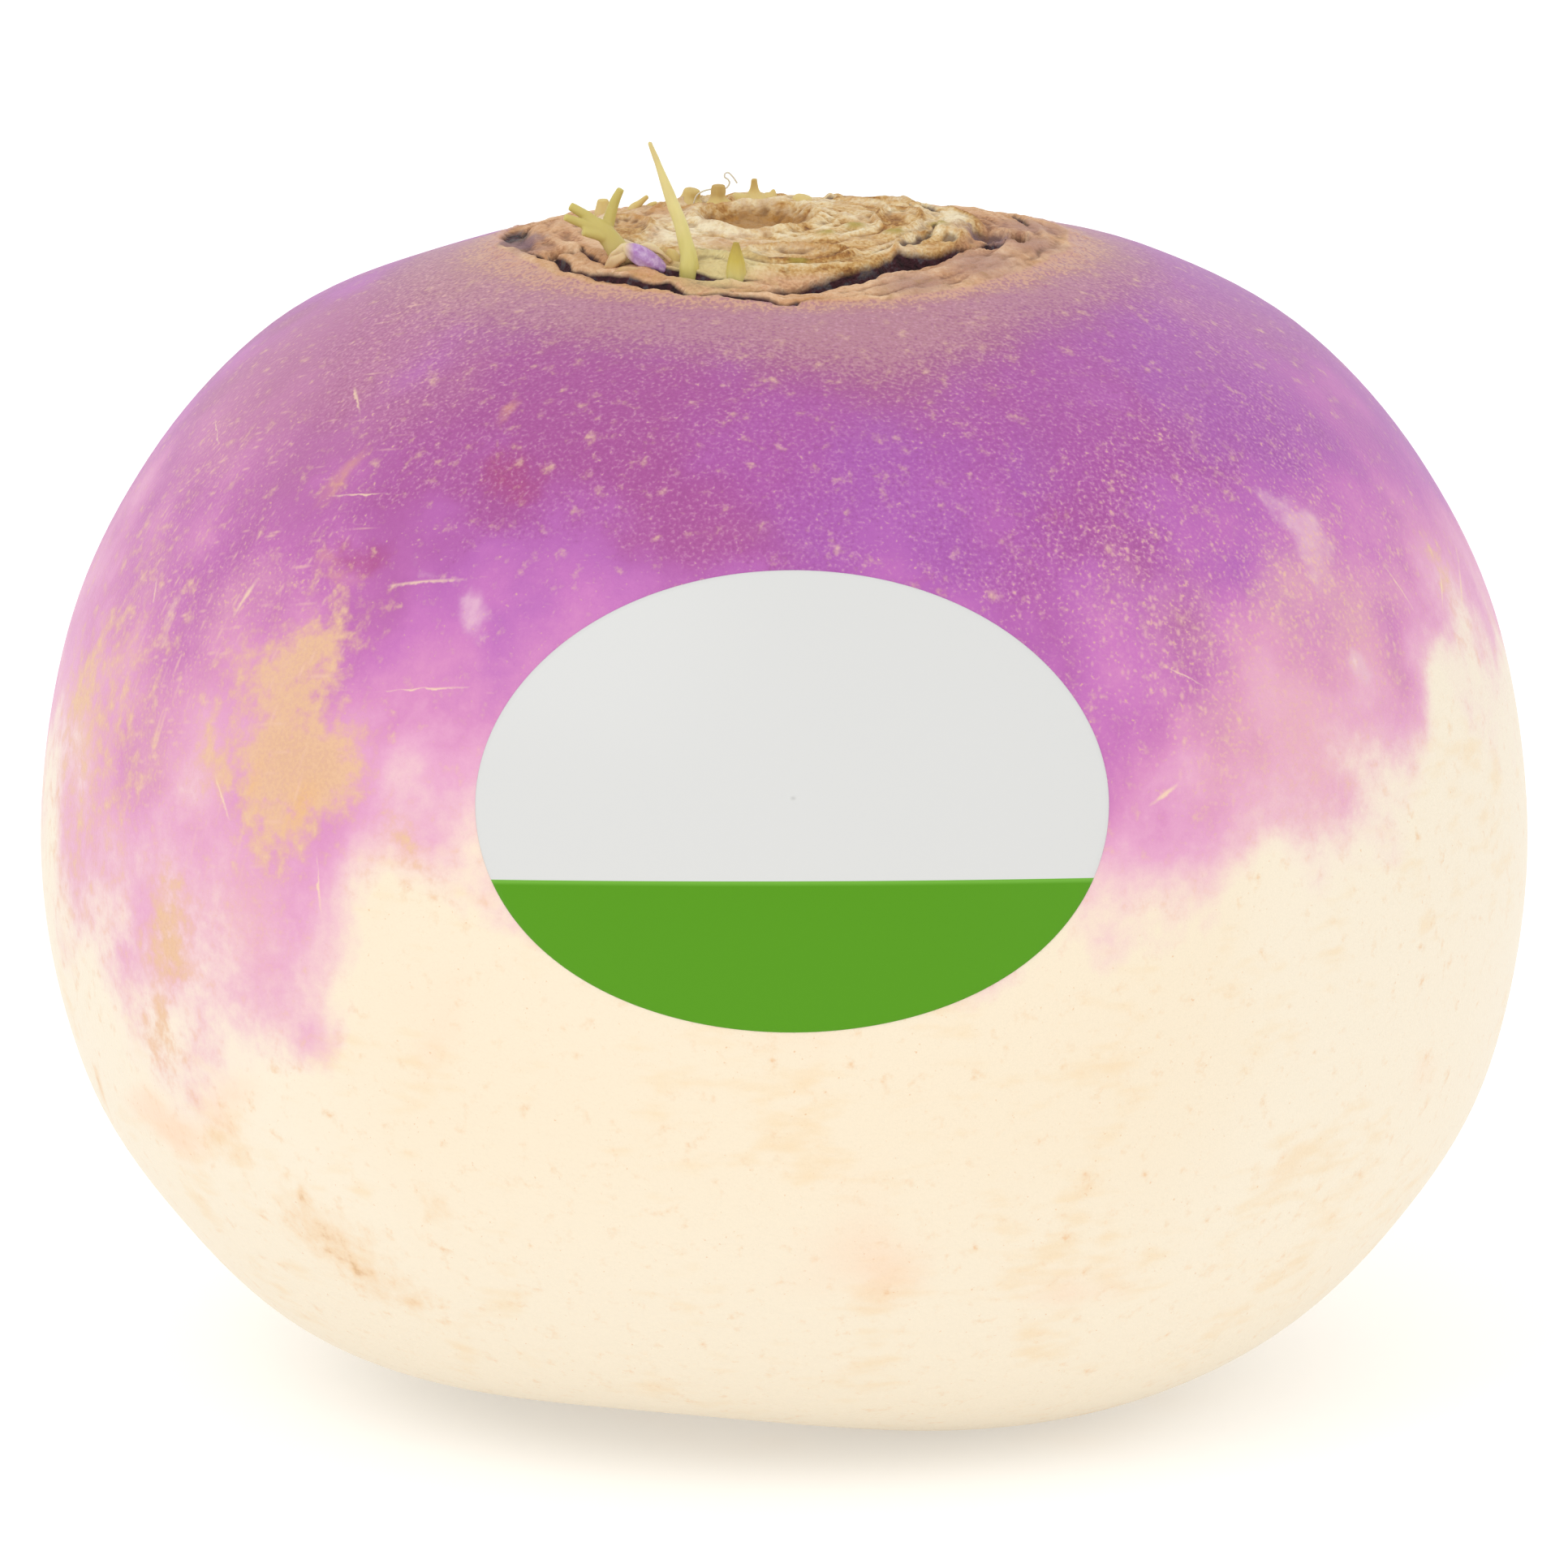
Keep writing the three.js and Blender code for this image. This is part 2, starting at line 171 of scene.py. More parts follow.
scene = bpy.context.scene
scene.view_settings.view_transform = "Standard"

rise = math.radians(view["elevation"])
lookAt = Vector((0, 0, view["lookHeight"])) * mm
outwards = Vector((0, -math.cos(rise), math.sin(rise)))
cameraData = bpy.data.cameras.new("camera")
cameraData.sensor_width = view["sensor"]
cameraData.lens = view["sensor"] * view["distance"] / view["frameWidth"]
cameraData.clip_start = view["near"]
cameraData.clip_end = view["far"]
camera = bpy.data.objects.new("camera", cameraData)
camera.location = lookAt + outwards * view["distance"] * mm
camera.rotation_euler = outwards.to_track_quat("Z", "Y").to_euler()
scene.collection.objects.link(camera)
scene.camera = camera

world = bpy.data.worlds.new("studio")
world.use_nodes = True
background = world.node_tree.nodes["Background"].inputs
background["Color"].default_value = (1, 1, 1, 1)
background["Strength"].default_value = light["world"]
scene.world = world
for name in ("key", "fill"):
    lamp = bpy.data.lights.new(name, "AREA")
    lamp.energy = light[name]
    lamp.size = light[name + "Size"] * mm
    lampObject = bpy.data.objects.new(name, lamp)
    lampObject.location = Vector(light[name + "From"]) * mm
    lampObject.rotation_euler = (lampObject.location - lookAt).to_track_quat("Z", "Y").to_euler()
    scene.collection.objects.link(lampObject)

floorLook = {"halfSize": 4000.0, "colour": "#e8e8e7", "glow": 0.3}
floorMesh = bpy.data.meshes.new("floor")
half = floorLook["halfSize"] * mm
floorCorners = [(-half, -half, 0), (half, -half, 0), (half, half, 0), (-half, half, 0)]
floorMesh.from_pydata(floorCorners, [], [(0, 1, 2, 3)])
# opal acrylic lit from below: an even pale ground that sends some light up under the root
floorAcrylic, _, _ = newMaterial("opal_acrylic", {
    "Base Color": linearColour(floorLook["colour"]), "Roughness": 0.9, "Emission Color": (1, 1, 1, 1),
    "Emission Strength": floorLook["glow"]})
floorMesh.materials.append(floorAcrylic)
floor = bpy.data.objects.new("floor", floorMesh)
scene.collection.objects.link(floor)
print("stage: camera, light and floor")


# shape of the root

root = {
    # half outline, radius and height in mm, from the resting ring to the summit
    "outline": [(12, 0), (24.6, 1.4), (35, 5.3), (42.4, 12.3), (47.7, 21.6), (50, 35.5), (48.2, 50),
                (43.2, 61), (36, 69.4), (27.6, 74.2), (19.5, 76.7), (10, 78.2), (0, 78.8)],
    "depthToWidth": 0.97,
    "middle": 38.0,
    # azimuth, tilt and spread in degrees, rise in mm
    "swellings": [(180, -35, 14, -1.3), (-108, -60, 17, -1.3), (181, -18.5, 5, -0.3), (60, -30, 30, 0.8),
                  (100, 15, 35, -0.9), (-46, -52, 21, 1.1), (152, 57, 9, -0.6)],
    "groundedFrom": 12.5, "groundedTo": 24.0,
    "shoulder": {"radius": 19, "spread": 9, "saddle": 0.6, "lean": 0.8},
    "columns": 400, "bodyStep": 1.25, "crownStep": 0.158, "crownRadius": 22.0,
    # heights above which the outline only closes in, and above which the crown's relief lies
    "upperFrom": 50.0, "reliefFrom": 60.0,
    # hollows in the relief: how many times it is blurred, and their share for each mm below the blurred one
    "blurs": 10, "hollowShare": 5,
    "underside": [(0, 0), (1.3, 0.0), (2.4, 0.0), (2.8, 0.25), (3.6, 1.6), (5.2, 1.75), (7, 1.3), (8.5, 0)],
}


def directionAt(azimuth, tilt):
    # unit vector from the root's middle
    azimuth, tilt = math.radians(azimuth), math.radians(tilt)
    level = math.cos(tilt)
    return np.array([level * math.cos(azimuth), level * math.sin(azimuth), math.sin(tilt)])


def rootSurface(radius, azimuth, height):
    # the outline turned to an azimuth and made oval, its shoulder waved, then swelled along rays from inside
    x = radius * np.cos(azimuth)
    y = radius * np.sin(azimuth) * root["depthToWidth"]
    wave = root["shoulder"]
    sway = wave["saddle"] * np.cos(2 * azimuth) - wave["lean"] * np.sin(azimuth)
    upper = height > root["middle"]
    z = height + upper * hump(radius - wave["radius"], wave["spread"]) * sway
    ray = np.stack([x, y, z - root["middle"]], -1)
    ray /= np.linalg.norm(ray, axis=-1, keepdims=True)
    swell = np.zeros(radius.shape)
    for towards, tilt, spread, lift in root["swellings"]:
        angle = np.degrees(np.arccos(np.clip(ray @ directionAt(towards, tilt), -1, 1)))
        swell += lift * hump(angle, spread)
    swell *= np.where(upper, 1, smooth(radius, root["groundedFrom"], root["groundedTo"]))
    return np.stack([x, y, z], -1) + ray * swell[..., None]


outlineDense = catmull(root["outline"], 6000)
outlineDense[:, 1] = np.maximum(outlineDense[:, 1], 0)
outlineLength = np.concatenate([[0], np.cumsum(np.linalg.norm(np.diff(outlineDense, axis=0), axis=1))])


def outlineAt(length):
    # radius and height of the outline at a distance along it
    return [np.interp(length, outlineLength, outlineDense[:, i]) for i in (0, 1)]


upperPart = outlineDense[outlineDense[:, 1] > root["upperFrom"]]


def crownGround(x, y):
    # height of the crown without its relief
    radius = np.hypot(x, y / root["depthToWidth"])
    height = np.interp(radius, upperPart[::-1, 0], upperPart[::-1, 1])
    return rootSurface(radius, np.arctan2(y / root["depthToWidth"], x), height)[..., 2]


# relief of the crown

crown = {
    "middle": (0.1, -0.8),
    # broad, rough and fine noise: cell in mm, seed, octaves; and how far the first two shift the rings, in mm
    "noises": [(5, 1), (1.6, 2), (0.5, 3, 2)], "warps": (1.3, 0.8),
    "lip": {"radius": 19.0, "width": 0.9, "rise": 0.15, "edge": 0.6,
            "front": -1.2, "frontAt": -95, "frontSpread": 45},
    "crumbs": {"rise": 0.5, "out": 0.6, "spread": 1.4},
    # fibres: mm from one to the next, how much they change on the way round, and their noise and its
    # crests: cell, seed, octaves; times sharper than a plain crest
    "fibres": {"apart": 0.8, "around": 3.2, "noise": (1, 4, 4), "crests": (1.7, 5, 2), "sharper": 2.5},
    # how much rough noise breaks up each outline
    "ragged": {"heart": 0.8, "scar": 0.5, "pit": 0.8, "mound": 0.6},
    # mm from the bare crown to its usual surface
    "usualRise": 0.35,
    "texture": {"fibre": 0.5, "crest": 0.16, "rough": 0.3, "fine": 0.16},
    "ledge": {"inner": 14.6, "outer": 17.6, "slope": 0.7, "rise": 0.15, "wave": 0.5},
    "disc": {"inner": 12.4, "outer": 13.3, "rise": 0.35},
    # from and to in degrees, radii on the way, width and depth in mm
    "crevices": [
        (-168, -86, [17.9, 17.5, 17.1, 17.1, 17.2, 17.3, 17.8], 0.7, 0.9),
        (-196, -163, [18.2, 17.8, 17.3], 1.9, 0.5),
        (-207, -184, [16.2, 17.0, 17.6], 0.5, 0.7),
        (-104, -22, [16.6, 15.3, 13.9, 13.0, 12.4, 12.3, 12.7, 13.3], 1.65, 1.8),
        (-26, -10, [14.2, 14.5, 14.8], 1.1, 1.1),
        (-136, -96, [15.0, 14.8, 14.3, 13.5], 0.8, 1.0),
        (-158, -134, [14.7, 15.3, 15.5, 15.4], 0.4, 0.5),
        (-93, -58, [17.7, 17.2, 16.6, 16.4], 0.4, 0.5),
        (12, 42, [10.4, 10.9, 11.3], 0.6, 0.6),
        (74, 128, [15.8, 16.4, 16.9], 0.7, 0.9),
        (10, 44, [16.2, 16.9, 16.4], 0.5, 0.6),
        (-158, -112, [12.0, 11.6, 11.2], 0.4, 0.35),
        (20, 100, [9.8, 9.2, 9.0], 0.4, 0.35),
        (-60, 4, [10.4, 10.0, 10.4], 0.4, 0.3),
    ],
    # hollows: x, y, half width, half depth and depth in mm
    "pits": [(13.6, -2.2, 1.3, 2.2, 0.9), (15.6, -3.2, 0.7, 2.4, 1.1), (11.2, -5.2, 0.7, 0.9, 0.4),
             (-14.8, -7.4, 1.0, 0.9, 0.8), (-8.6, 12.0, 1.6, 0.9, 0.6), (6.5, 12.6, 1.2, 1.0, 0.7)],
    "heart": {"x": -1.9, "y": -0.9, "radius": 4.3, "width": 0.45, "rise": 0.4, "dish": 1.0,
              "slope": 2.0},
    "scars": {"count": 9, "turn": 137.5, "first": 7.6, "step": 0.75, "long": 2.6, "wide": 1.2, "depth": 0.35},
    # swollen places, or sunk where the rise is below zero: x, y, radius and rise in mm
    "mounds": [(-5.0, -12.4, 2.6, 0.45), (-9.6, -10.6, 2.0, 0.4), (4.7, -3.8, 0.9, 0.3),
               (7.3, -5.2, 0.8, 0.3), (10.3, -2.6, 0.9, 0.3), (2.8, -5.6, 0.9, 0.25), (8.5, 0.5, 1.4, 0.3),
               (-8, -3, 1.6, 0.25), (1.0, -17.0, 2.6, -0.45), (5.4, -15.4, 2.4, -0.3),
               (9.0, -13.0, 2.0, -0.2)],
    # olive buds, pale sappy growth, grey-purple bruises and dull grey-brown patches: x, y, radius in mm
    "green": [(2.8, -5.6, 0.6), (4.7, -3.8, 0.7), (7.3, -5.2, 0.65), (10.3, -2.6, 0.65), (0.9, -11.4, 0.7),
              (0.3, -2.6, 1.0)],
    "sap": [(-4.4, -12.6, 3.0), (-9.4, -10.4, 1.4), (-6.3, -12.4, 1.4)],
    "bruise": [(-17.9, -2.0, 2.2), (13.6, -2.2, 1.9)],
    "dusk": [(13.2, -10.4, 3.4), (16.4, -5.0, 3.4), (8.8, -14.6, 2.8), (16.8, 1.5, 3.0), (-17.2, -5.6, 1.8)],
}


def crownRelief(x, y):
    # rings, ledges and splits about the crown's middle, their radii warped by noise, plus fibres round it
    dx, dy = x - crown["middle"][0], y - crown["middle"][1]
    radius = np.hypot(dx, dy / root["depthToWidth"])
    angle = np.degrees(np.arctan2(dy, dx))
    flat = np.stack([x, y, 0 * x], -1)
    broad, rough, fine = [noiseAt(flat, *settings) for settings in crown["noises"]]
    warped = radius + crown["warps"][0] * (broad - 0.5) + crown["warps"][1] * (rough - 0.5)
    turn = np.radians(angle)
    fibres = crown["fibres"]
    fibrePlace = np.stack([warped / fibres["apart"], fibres["around"] * np.cos(turn),
                           fibres["around"] * np.sin(turn)], -1)
    fibre = noiseAt(fibrePlace, *fibres["noise"])
    crest = 1 - np.abs(2 * noiseAt(fibrePlace, *fibres["crests"]) - 1) * fibres["sharper"]

    ragged = crown["ragged"]
    onDisc = smooth(warped, crown["disc"]["outer"], crown["disc"]["inner"])
    ledge = crown["ledge"]
    onLedge = smooth(warped, ledge["inner"] - ledge["slope"], ledge["inner"])
    onLedge *= smooth(warped, ledge["outer"] + ledge["slope"], ledge["outer"])
    heart = crown["heart"]
    fromHeart = np.hypot(x - heart["x"], y - heart["y"]) + ragged["heart"] * (rough - 0.5)
    inHeart = smooth(fromHeart, heart["radius"], heart["radius"] - heart["slope"])
    scars = np.zeros(x.shape)
    scarLook = crown["scars"]
    for index in range(scarLook["count"]):
        around = math.radians(index * scarLook["turn"])
        away = scarLook["first"] + scarLook["step"] * index
        across = (dx * math.cos(around) + dy * math.sin(around) - away) / scarLook["wide"]
        along = (dy * math.cos(around) - dx * math.sin(around)) / scarLook["long"]
        reach = np.sqrt(across ** 2 + along ** 2) + ragged["scar"] * (rough - 0.5)
        scars += hump(reach ** 2, 1) - 0.9 * hump(reach - 1.3, 0.16)
    # split: where crevices and pits are painted dark, partly their dark tissue and partly painted shade
    split = np.zeros(x.shape)
    lift = np.zeros(x.shape)
    # a crevice is widest halfway along, as the root of a half sine, and noise narrows and widens it
    for start, stop, radii, width, depth in crown["crevices"]:
        along = turnFrom(angle, (start + stop) / 2) / (stop - start) + 0.5
        inside = np.clip(along, 0.001, 0.999)
        middle = np.interp(inside, np.linspace(0, 1, len(radii)), radii)
        opening = (np.abs(along - 0.5) < 0.499) * np.sin(np.pi * inside) ** 0.5 * (0.6 + 0.8 * broad)
        fromMiddle = warped - 0.15 - middle
        reach = 0.5 * width * np.maximum(opening, 0.01)
        cut = opening / (1 + (fromMiddle / reach) ** 6)
        lift -= depth * cut
        split = np.maximum(split, cut * min(1.0, depth))
    lift += onDisc * (crown["disc"]["rise"] - scarLook["depth"] * scars)
    heartRim = heart["rise"] * hump(fromHeart - heart["radius"], heart["width"]) * (0.4 + 1.2 * broad)
    lift += heartRim - heart["dish"] * inHeart
    lift += onLedge * (ledge["rise"] + ledge["wave"] * 2 * (broad - 0.5))
    for pitX, pitY, halfWidth, halfDepth, depth in crown["pits"]:
        out = np.hypot((x - pitX) / halfWidth, (y - pitY) / halfDepth) + ragged["pit"] * (rough - 0.5)
        lift -= depth * smooth(out, 1.15, 0.6)
        split = np.maximum(split, 0.4 * depth * smooth(out, 1.1, 0.5))
    for moundX, moundY, moundRadius, rise in crown["mounds"]:
        lift += rise * hump(np.hypot(x - moundX, y - moundY) + ragged["mound"] * (rough - 0.5), moundRadius)
    lip = crown["lip"]
    lipRadius = lip["radius"] + lip["front"] * hump(angle - lip["frontAt"], lip["frontSpread"])
    lift += lip["rise"] * hump(warped - lipRadius, lip["width"])
    tissue = smooth(warped, lipRadius + lip["edge"], lipRadius - lip["edge"])
    share = crown["texture"]
    texture = (share["fibre"] * (fibre - 0.5) + share["crest"] * np.maximum(crest, 0)
               + share["rough"] * (rough - 0.5) + share["fine"] * (fine - 0.5))
    lift += tissue * texture * (1 - 0.6 * split)
    # cork crumbs just beyond the lip
    crumbs = crown["crumbs"]
    beyond = hump(warped - lipRadius - crumbs["out"], crumbs["spread"]) * (1 - tissue)
    lift += crumbs["rise"] * beyond * np.maximum(fine - 0.5, 0)
    fibreShade = fibre + 0.25 * np.maximum(crest, 0) + 0.6 * (broad - 0.5) - 0.25 * np.abs(scars)
    return lift, {"tissue": tissue, "split": split, "fibre": fibreShade, "heart": inHeart, "disc": onDisc,
                  "stain": broad, "beyondLip": warped - lipRadius}


# marks on the skin

skin = {
    "azimuths": [-172, -162, -155, -147, -141, -133, -127, -121, -115, -105, -90, -75, -65, -58, -50, -42,
                 -35, -29, -24, -19, -12, 5, 30, 55, 80, 105, 130, 160],
    # depth of the purple, and the height in mm where it is so deep at each azimuth in degrees
    "depths": {0.0: [30, 30, 28, 25, 25, 26, 31, 42, 44, 39, 39, 39, 38, 39, 43, 43, 43, 47, 52, 46, 43,
                     42, 36, 33, 40, 45, 37, 34],
               0.27: [44, 42, 36, 33, 32, 33.5, 37.5, 50, 51, 48, 45, 44, 43, 45, 47.5, 47, 49.5, 51, 54.5,
                      54, 53, 49, 43, 39, 46, 52, 45, 44],
               0.55: [62, 58, 56, 54, 57, 59, 57, 54, 56.5, 56.5, 54, 52, 51, 51, 53.5, 57, 56.5, 56.5, 58,
                      61, 61, 57, 53, 50, 55, 62, 56, 57],
               0.95: [80, 78, 76, 74, 73, 71, 68, 67.5, 67, 68, 66.5, 66, 65, 66, 66, 66, 67, 68, 70, 74,
                      72, 68, 64, 62, 66, 73, 68, 72]},
    # past the last loops: mm to go for a whole depth more or less, and the most it changes
    "above": (40, 0.1), "below": (15, 0.3),
    # how far noise shifts the marks, its cell, and the least radius that it turns them about, in mm
    "warp": 3.6, "warpCell": 6.0, "warpRadius": 20,
    # cork round the crown: mm past the lip, more on the left and right; each side's azimuth and spread
    "cork": {"reach": 2.8, "left": 3.6, "right": 3.0, "edge": -0.6}, "left": (-165, 30), "right": (-5, 25),
    # where the cream turns ivory: downwards in mm, and in degrees from the front
    "ivory": [(34, 8), (28, 50)],
    # scratches everywhere: the least, and more by the noise; painted sheen on the limbs between two heights;
    # the shoulder darker and greyer between two distances from the crown's middle, farther out on the left
    "scratchShares": (0.1, 0.7), "limbSheenHeights": (56, 72), "shoulderReach": (30, 20), "shoulderLeft": 2.5,
    # how much of a split's darkness is left off where it is bruised
    "bruisedSplit": 0.75,
    # azimuth in degrees, height, half width and half height in mm, strength
    "tan": [(-132, 56.5, 3.4, 4.4, 1.0), (-131.5, 50.0, 5.6, 5.0, 1.1), (-134.5, 53.5, 5.2, 3.4, 0.95),
            (-139.5, 48.5, 2.2, 2.4, 0.7), (-145.5, 35.5, 2.6, 4.6, 0.8), (-147, 29.5, 2.0, 2.6, 0.6),
            (-165, 50, 3.2, 5.5, 0.7), (-161, 48, 9, 13, 0.5), (-152, 45, 3.0, 4.0, 0.45),
            (-150, 56, 2.2, 3.0, 0.4), (-120, 46.5, 3.5, 2.0, 0.45), (-14, 57, 3, 5, 0.4),
            (35, 50, 6, 4, 0.7), (120, 55, 5, 7, 0.8), (150, 48, 4, 6, 0.6)],
    "rust": [(-131, 17.5, 6.0, 3.6, 0.62), (-127, 14.5, 4.0, 3.0, 0.5), (-140, 23, 5, 3, 0.45),
             (-133, 20.2, 0.8, 0.6, 1.3), (-127.5, 15.9, 1.0, 0.6, 1.2), (-124.5, 13.6, 0.6, 0.5, 1.1),
             (-139, 66.3, 1.0, 2.6, 0.7), (-124, 71.6, 1.1, 1.1, 0.8), (-162, 22.5, 0.8, 2.6, 0.8),
             (-130, 48, 1.2, 2.0, 0.7), (-134, 48.5, 0.8, 1.2, 0.7), (-152, 37, 1.0, 2.0, 0.4),
             (-118, 22, 1.6, 1.4, 0.5), (-134, 62.5, 2.0, 1.4, 0.55), (60, 20, 5, 3, 0.5),
             (140, 62, 1.2, 2, 0.8), (85, 66, 1.4, 1.4, 0.8)],
    "blush": [(-149, 23, 5, 2.2, 0.7), (-84, 19.6, 6.5, 4.2, 0.45), (-65, 15.4, 3, 2, 0.45),
              (-88, 36.5, 5, 3, 0.4), (-137, 26, 5, 2.4, 0.6), (-117, 36, 3, 4, 0.4),
              (-30, 25, 4, 3, 0.35), (10, 20, 5, 4, 0.4), (120, 25, 6, 4, 0.5)],
    "pale": [(-117, 61, 1.7, 1.8, 1.0), (-124, 62.6, 4.0, 1.0, 0.55), (-36.5, 53.4, 1.2, 1.1, 1.6),
             (-36, 62.2, 2.0, 4.2, 0.85), (-150, 56, 1.2, 2.6, 0.6), (70, 60, 1.5, 3, 0.9)],
    "magenta": [(-119, 69.2, 3.4, 1.8, 0.9), (-131, 63.4, 3.2, 1.6, 0.9), (-60, 66, 4, 2, 0.5),
                (-78, 62, 5, 2, 0.5)],
    # noise that the whole skin carries: cell in mm, seed and octaves
    "noises": {"tone": (22, 23, 2), "cloud": (5, 24, 3), "scratchy": (9, 25, 4)},
    # broad rises: azimuth and spread in degrees, height and spread in mm, amount
    "rises": {"tone": [(-57, 16, 61, 9, 0.12)],
              "scratchy": [(-160, 40, 0, math.inf, 0.2), (-140, 20, 44, 14, 0.25), (-43, 24, 57, 14, 0.5)],
              # painted sheen: the skin paler where light grazes the left and right limbs
              "dusty": [(-160, 26, 0, math.inf, 0.9), (-12, 20, 0, math.inf, 0.5)],
              "shoulder": [(-76, 15, 73.5, 4, 0.42)]},
}


def periodic(keys, values, azimuth):
    # a smooth loop through heights given at azimuths
    keys = np.array(keys)
    keys = np.concatenate([keys - 360, keys, keys + 360])
    dense = catmull(np.stack([keys, np.tile(values, 3)], -1), 3000)
    return np.interp(azimuth, dense[:, 0], dense[:, 1])


def patches(marks, azimuth, radius, length):
    # soft ellipses on the skin, measured round the root and along its outline
    total = np.zeros(azimuth.shape)
    heights = outlineDense[:, 1]
    for towards, height, wide, tall, strength in marks:
        across = np.radians(turnFrom(azimuth, towards)) * radius
        along = length - np.interp(height, heights, outlineLength)
        total = np.maximum(total, strength * np.exp(-((across / wide) ** 2 + (along / tall) ** 2)))
    return total


# points of the root and the marks they carry

bodyLengths = np.arange(0, outlineLength[-1], root["bodyStep"])
bodyRadius, bodyHeight = outlineAt(bodyLengths)
bodyLengths = bodyLengths[(bodyRadius > root["crownRadius"]) | (bodyHeight < root["upperFrom"])]
crownRows = np.arange(bodyLengths[-1] + root["crownStep"] * 4, outlineLength[-1], root["crownStep"])
lengths = np.concatenate([bodyLengths, crownRows])
rowRadius, rowHeight = outlineAt(lengths)
under = np.array(root["underside"])
rowRadius = np.concatenate([under[1:, 0], rowRadius])
rowHeight = np.concatenate([under[1:, 1], rowHeight])
rowLength = np.concatenate([-np.arange(len(under) - 1, 0, -1.0), lengths])
azimuths = np.linspace(-math.pi, math.pi, root["columns"], endpoint=False) + math.pi / 2
radiusGrid, azimuthGrid = np.meshgrid(rowRadius, azimuths, indexing="ij")
heightGrid = np.repeat(rowHeight[:, None], len(azimuths), 1)
lengthGrid = np.repeat(rowLength[:, None], len(azimuths), 1)
points = rootSurface(radiusGrid, azimuthGrid, heightGrid)
onTop = heightGrid > root["reliefFrom"]
lift, crownMarks = crownRelief(points[..., 0], points[..., 1])
points[..., 2] += np.where(onTop, lift, 0)

# local hollows: how far a point lies below the mean of its neighbours
blurred = np.where(onTop, lift, 0)
for _ in range(root["blurs"]):
    padded = np.concatenate([blurred[:1], blurred, blurred[-1:]])
    blurred = (padded[:-2] + padded[2:] + np.roll(blurred, 1, 1) + np.roll(blurred, -1, 1)) / 4
# the crown is painted dark brown in these hollows: partly its browned tissue, partly painted shade
hollow = np.clip(root["hollowShare"] * (blurred - np.where(onTop, lift, 0)), 0, 1)

# marks are looked up at places shifted by noise, so no edge is a plain curve
sway = [skin["warp"] * 2 * (noiseAt(points, skin["warpCell"], seed) - 0.5) for seed in (21, 22)]
degrees = turnFrom(np.degrees(azimuthGrid + sway[0] / np.maximum(radiusGrid, skin["warpRadius"])), 0)
markLength = lengthGrid + sway[1]
markHeight = points[..., 2] + sway[1]
levelHeights = [periodic(skin["azimuths"], heights, degrees) for heights in skin["depths"].values()]
purple = np.zeros(degrees.shape)
for (low, high), (first, second) in zip(itertools.pairwise(levelHeights), itertools.pairwise(skin["depths"])):
    purple += (second - first) * np.clip((markHeight - low) / (high - low), 0, 1)
purple += np.clip((markHeight - levelHeights[-1]) / skin["above"][0], 0, skin["above"][1])
purple -= np.clip((levelHeights[0] - markHeight) / skin["below"][0], 0, skin["below"][1])
crownDistance = np.hypot(points[..., 0] - crown["middle"][0], points[..., 1] - crown["middle"][1])
leftwards, rightwards = [hump(turnFrom(degrees, towards), spread)
                         for towards, spread in (skin["left"], skin["right"])]
cork = skin["cork"]
corkReach = cork["reach"] + cork["left"] * leftwards + cork["right"] * rightwards
crownSpots = {}
for name in ("green", "sap", "bruise", "dusk"):
    crownSpots[name] = np.zeros(degrees.shape)
    for spotX, spotY, spotRadius in crown[name]:
        spot = hump(np.hypot(points[..., 0] - spotX, points[..., 1] - spotY), spotRadius)
        crownSpots[name] = np.where(onTop, np.maximum(crownSpots[name], spot), 0)
crownMarks["split"] *= 1 - skin["bruisedSplit"] * crownSpots["bruise"]
skinNoise = {name: noiseAt(points, *settings) for name, settings in skin["noises"].items()}
rises = {name: sum(amount * hump(turnFrom(degrees, towards), spread) * hump(points[..., 2] - height, tall)
                   for towards, spread, height, tall, amount in humps)
         for name, humps in skin["rises"].items()}
leastScratchy, moreScratchy = skin["scratchShares"]
fromCrown = crownDistance - skin["shoulderLeft"] * leftwards
rootMarks = {
    "purple": purple,
    "tone": skinNoise["tone"] + rises["tone"],
    "cloud": skinNoise["cloud"],
    "ivory": np.clip(smooth(points[..., 2], *skin["ivory"][0])
                     + smooth(np.abs(turnFrom(degrees, -90)), *skin["ivory"][1]), 0, 1),
    "scratchy": leastScratchy + moreScratchy * skinNoise["scratchy"] + rises["scratchy"],
    # painted sheen on the limbs, only between two heights
    "dusty": rises["dusty"] * smooth(points[..., 2], *skin["limbSheenHeights"]),
    "shoulder": np.where(onTop, smooth(fromCrown, *skin["shoulderReach"]) + rises["shoulder"], 0),
    "cork": np.where(onTop, smooth(crownMarks.pop("beyondLip"), corkReach, cork["edge"]), 0),
    "hollow": hollow, **crownSpots,
    **{name: patches(skin[name], degrees, radiusGrid, markLength)
       for name in ("tan", "rust", "blush", "pale", "magenta")},
    **{name: np.where(onTop, values, 0) for name, values in crownMarks.items()},
}

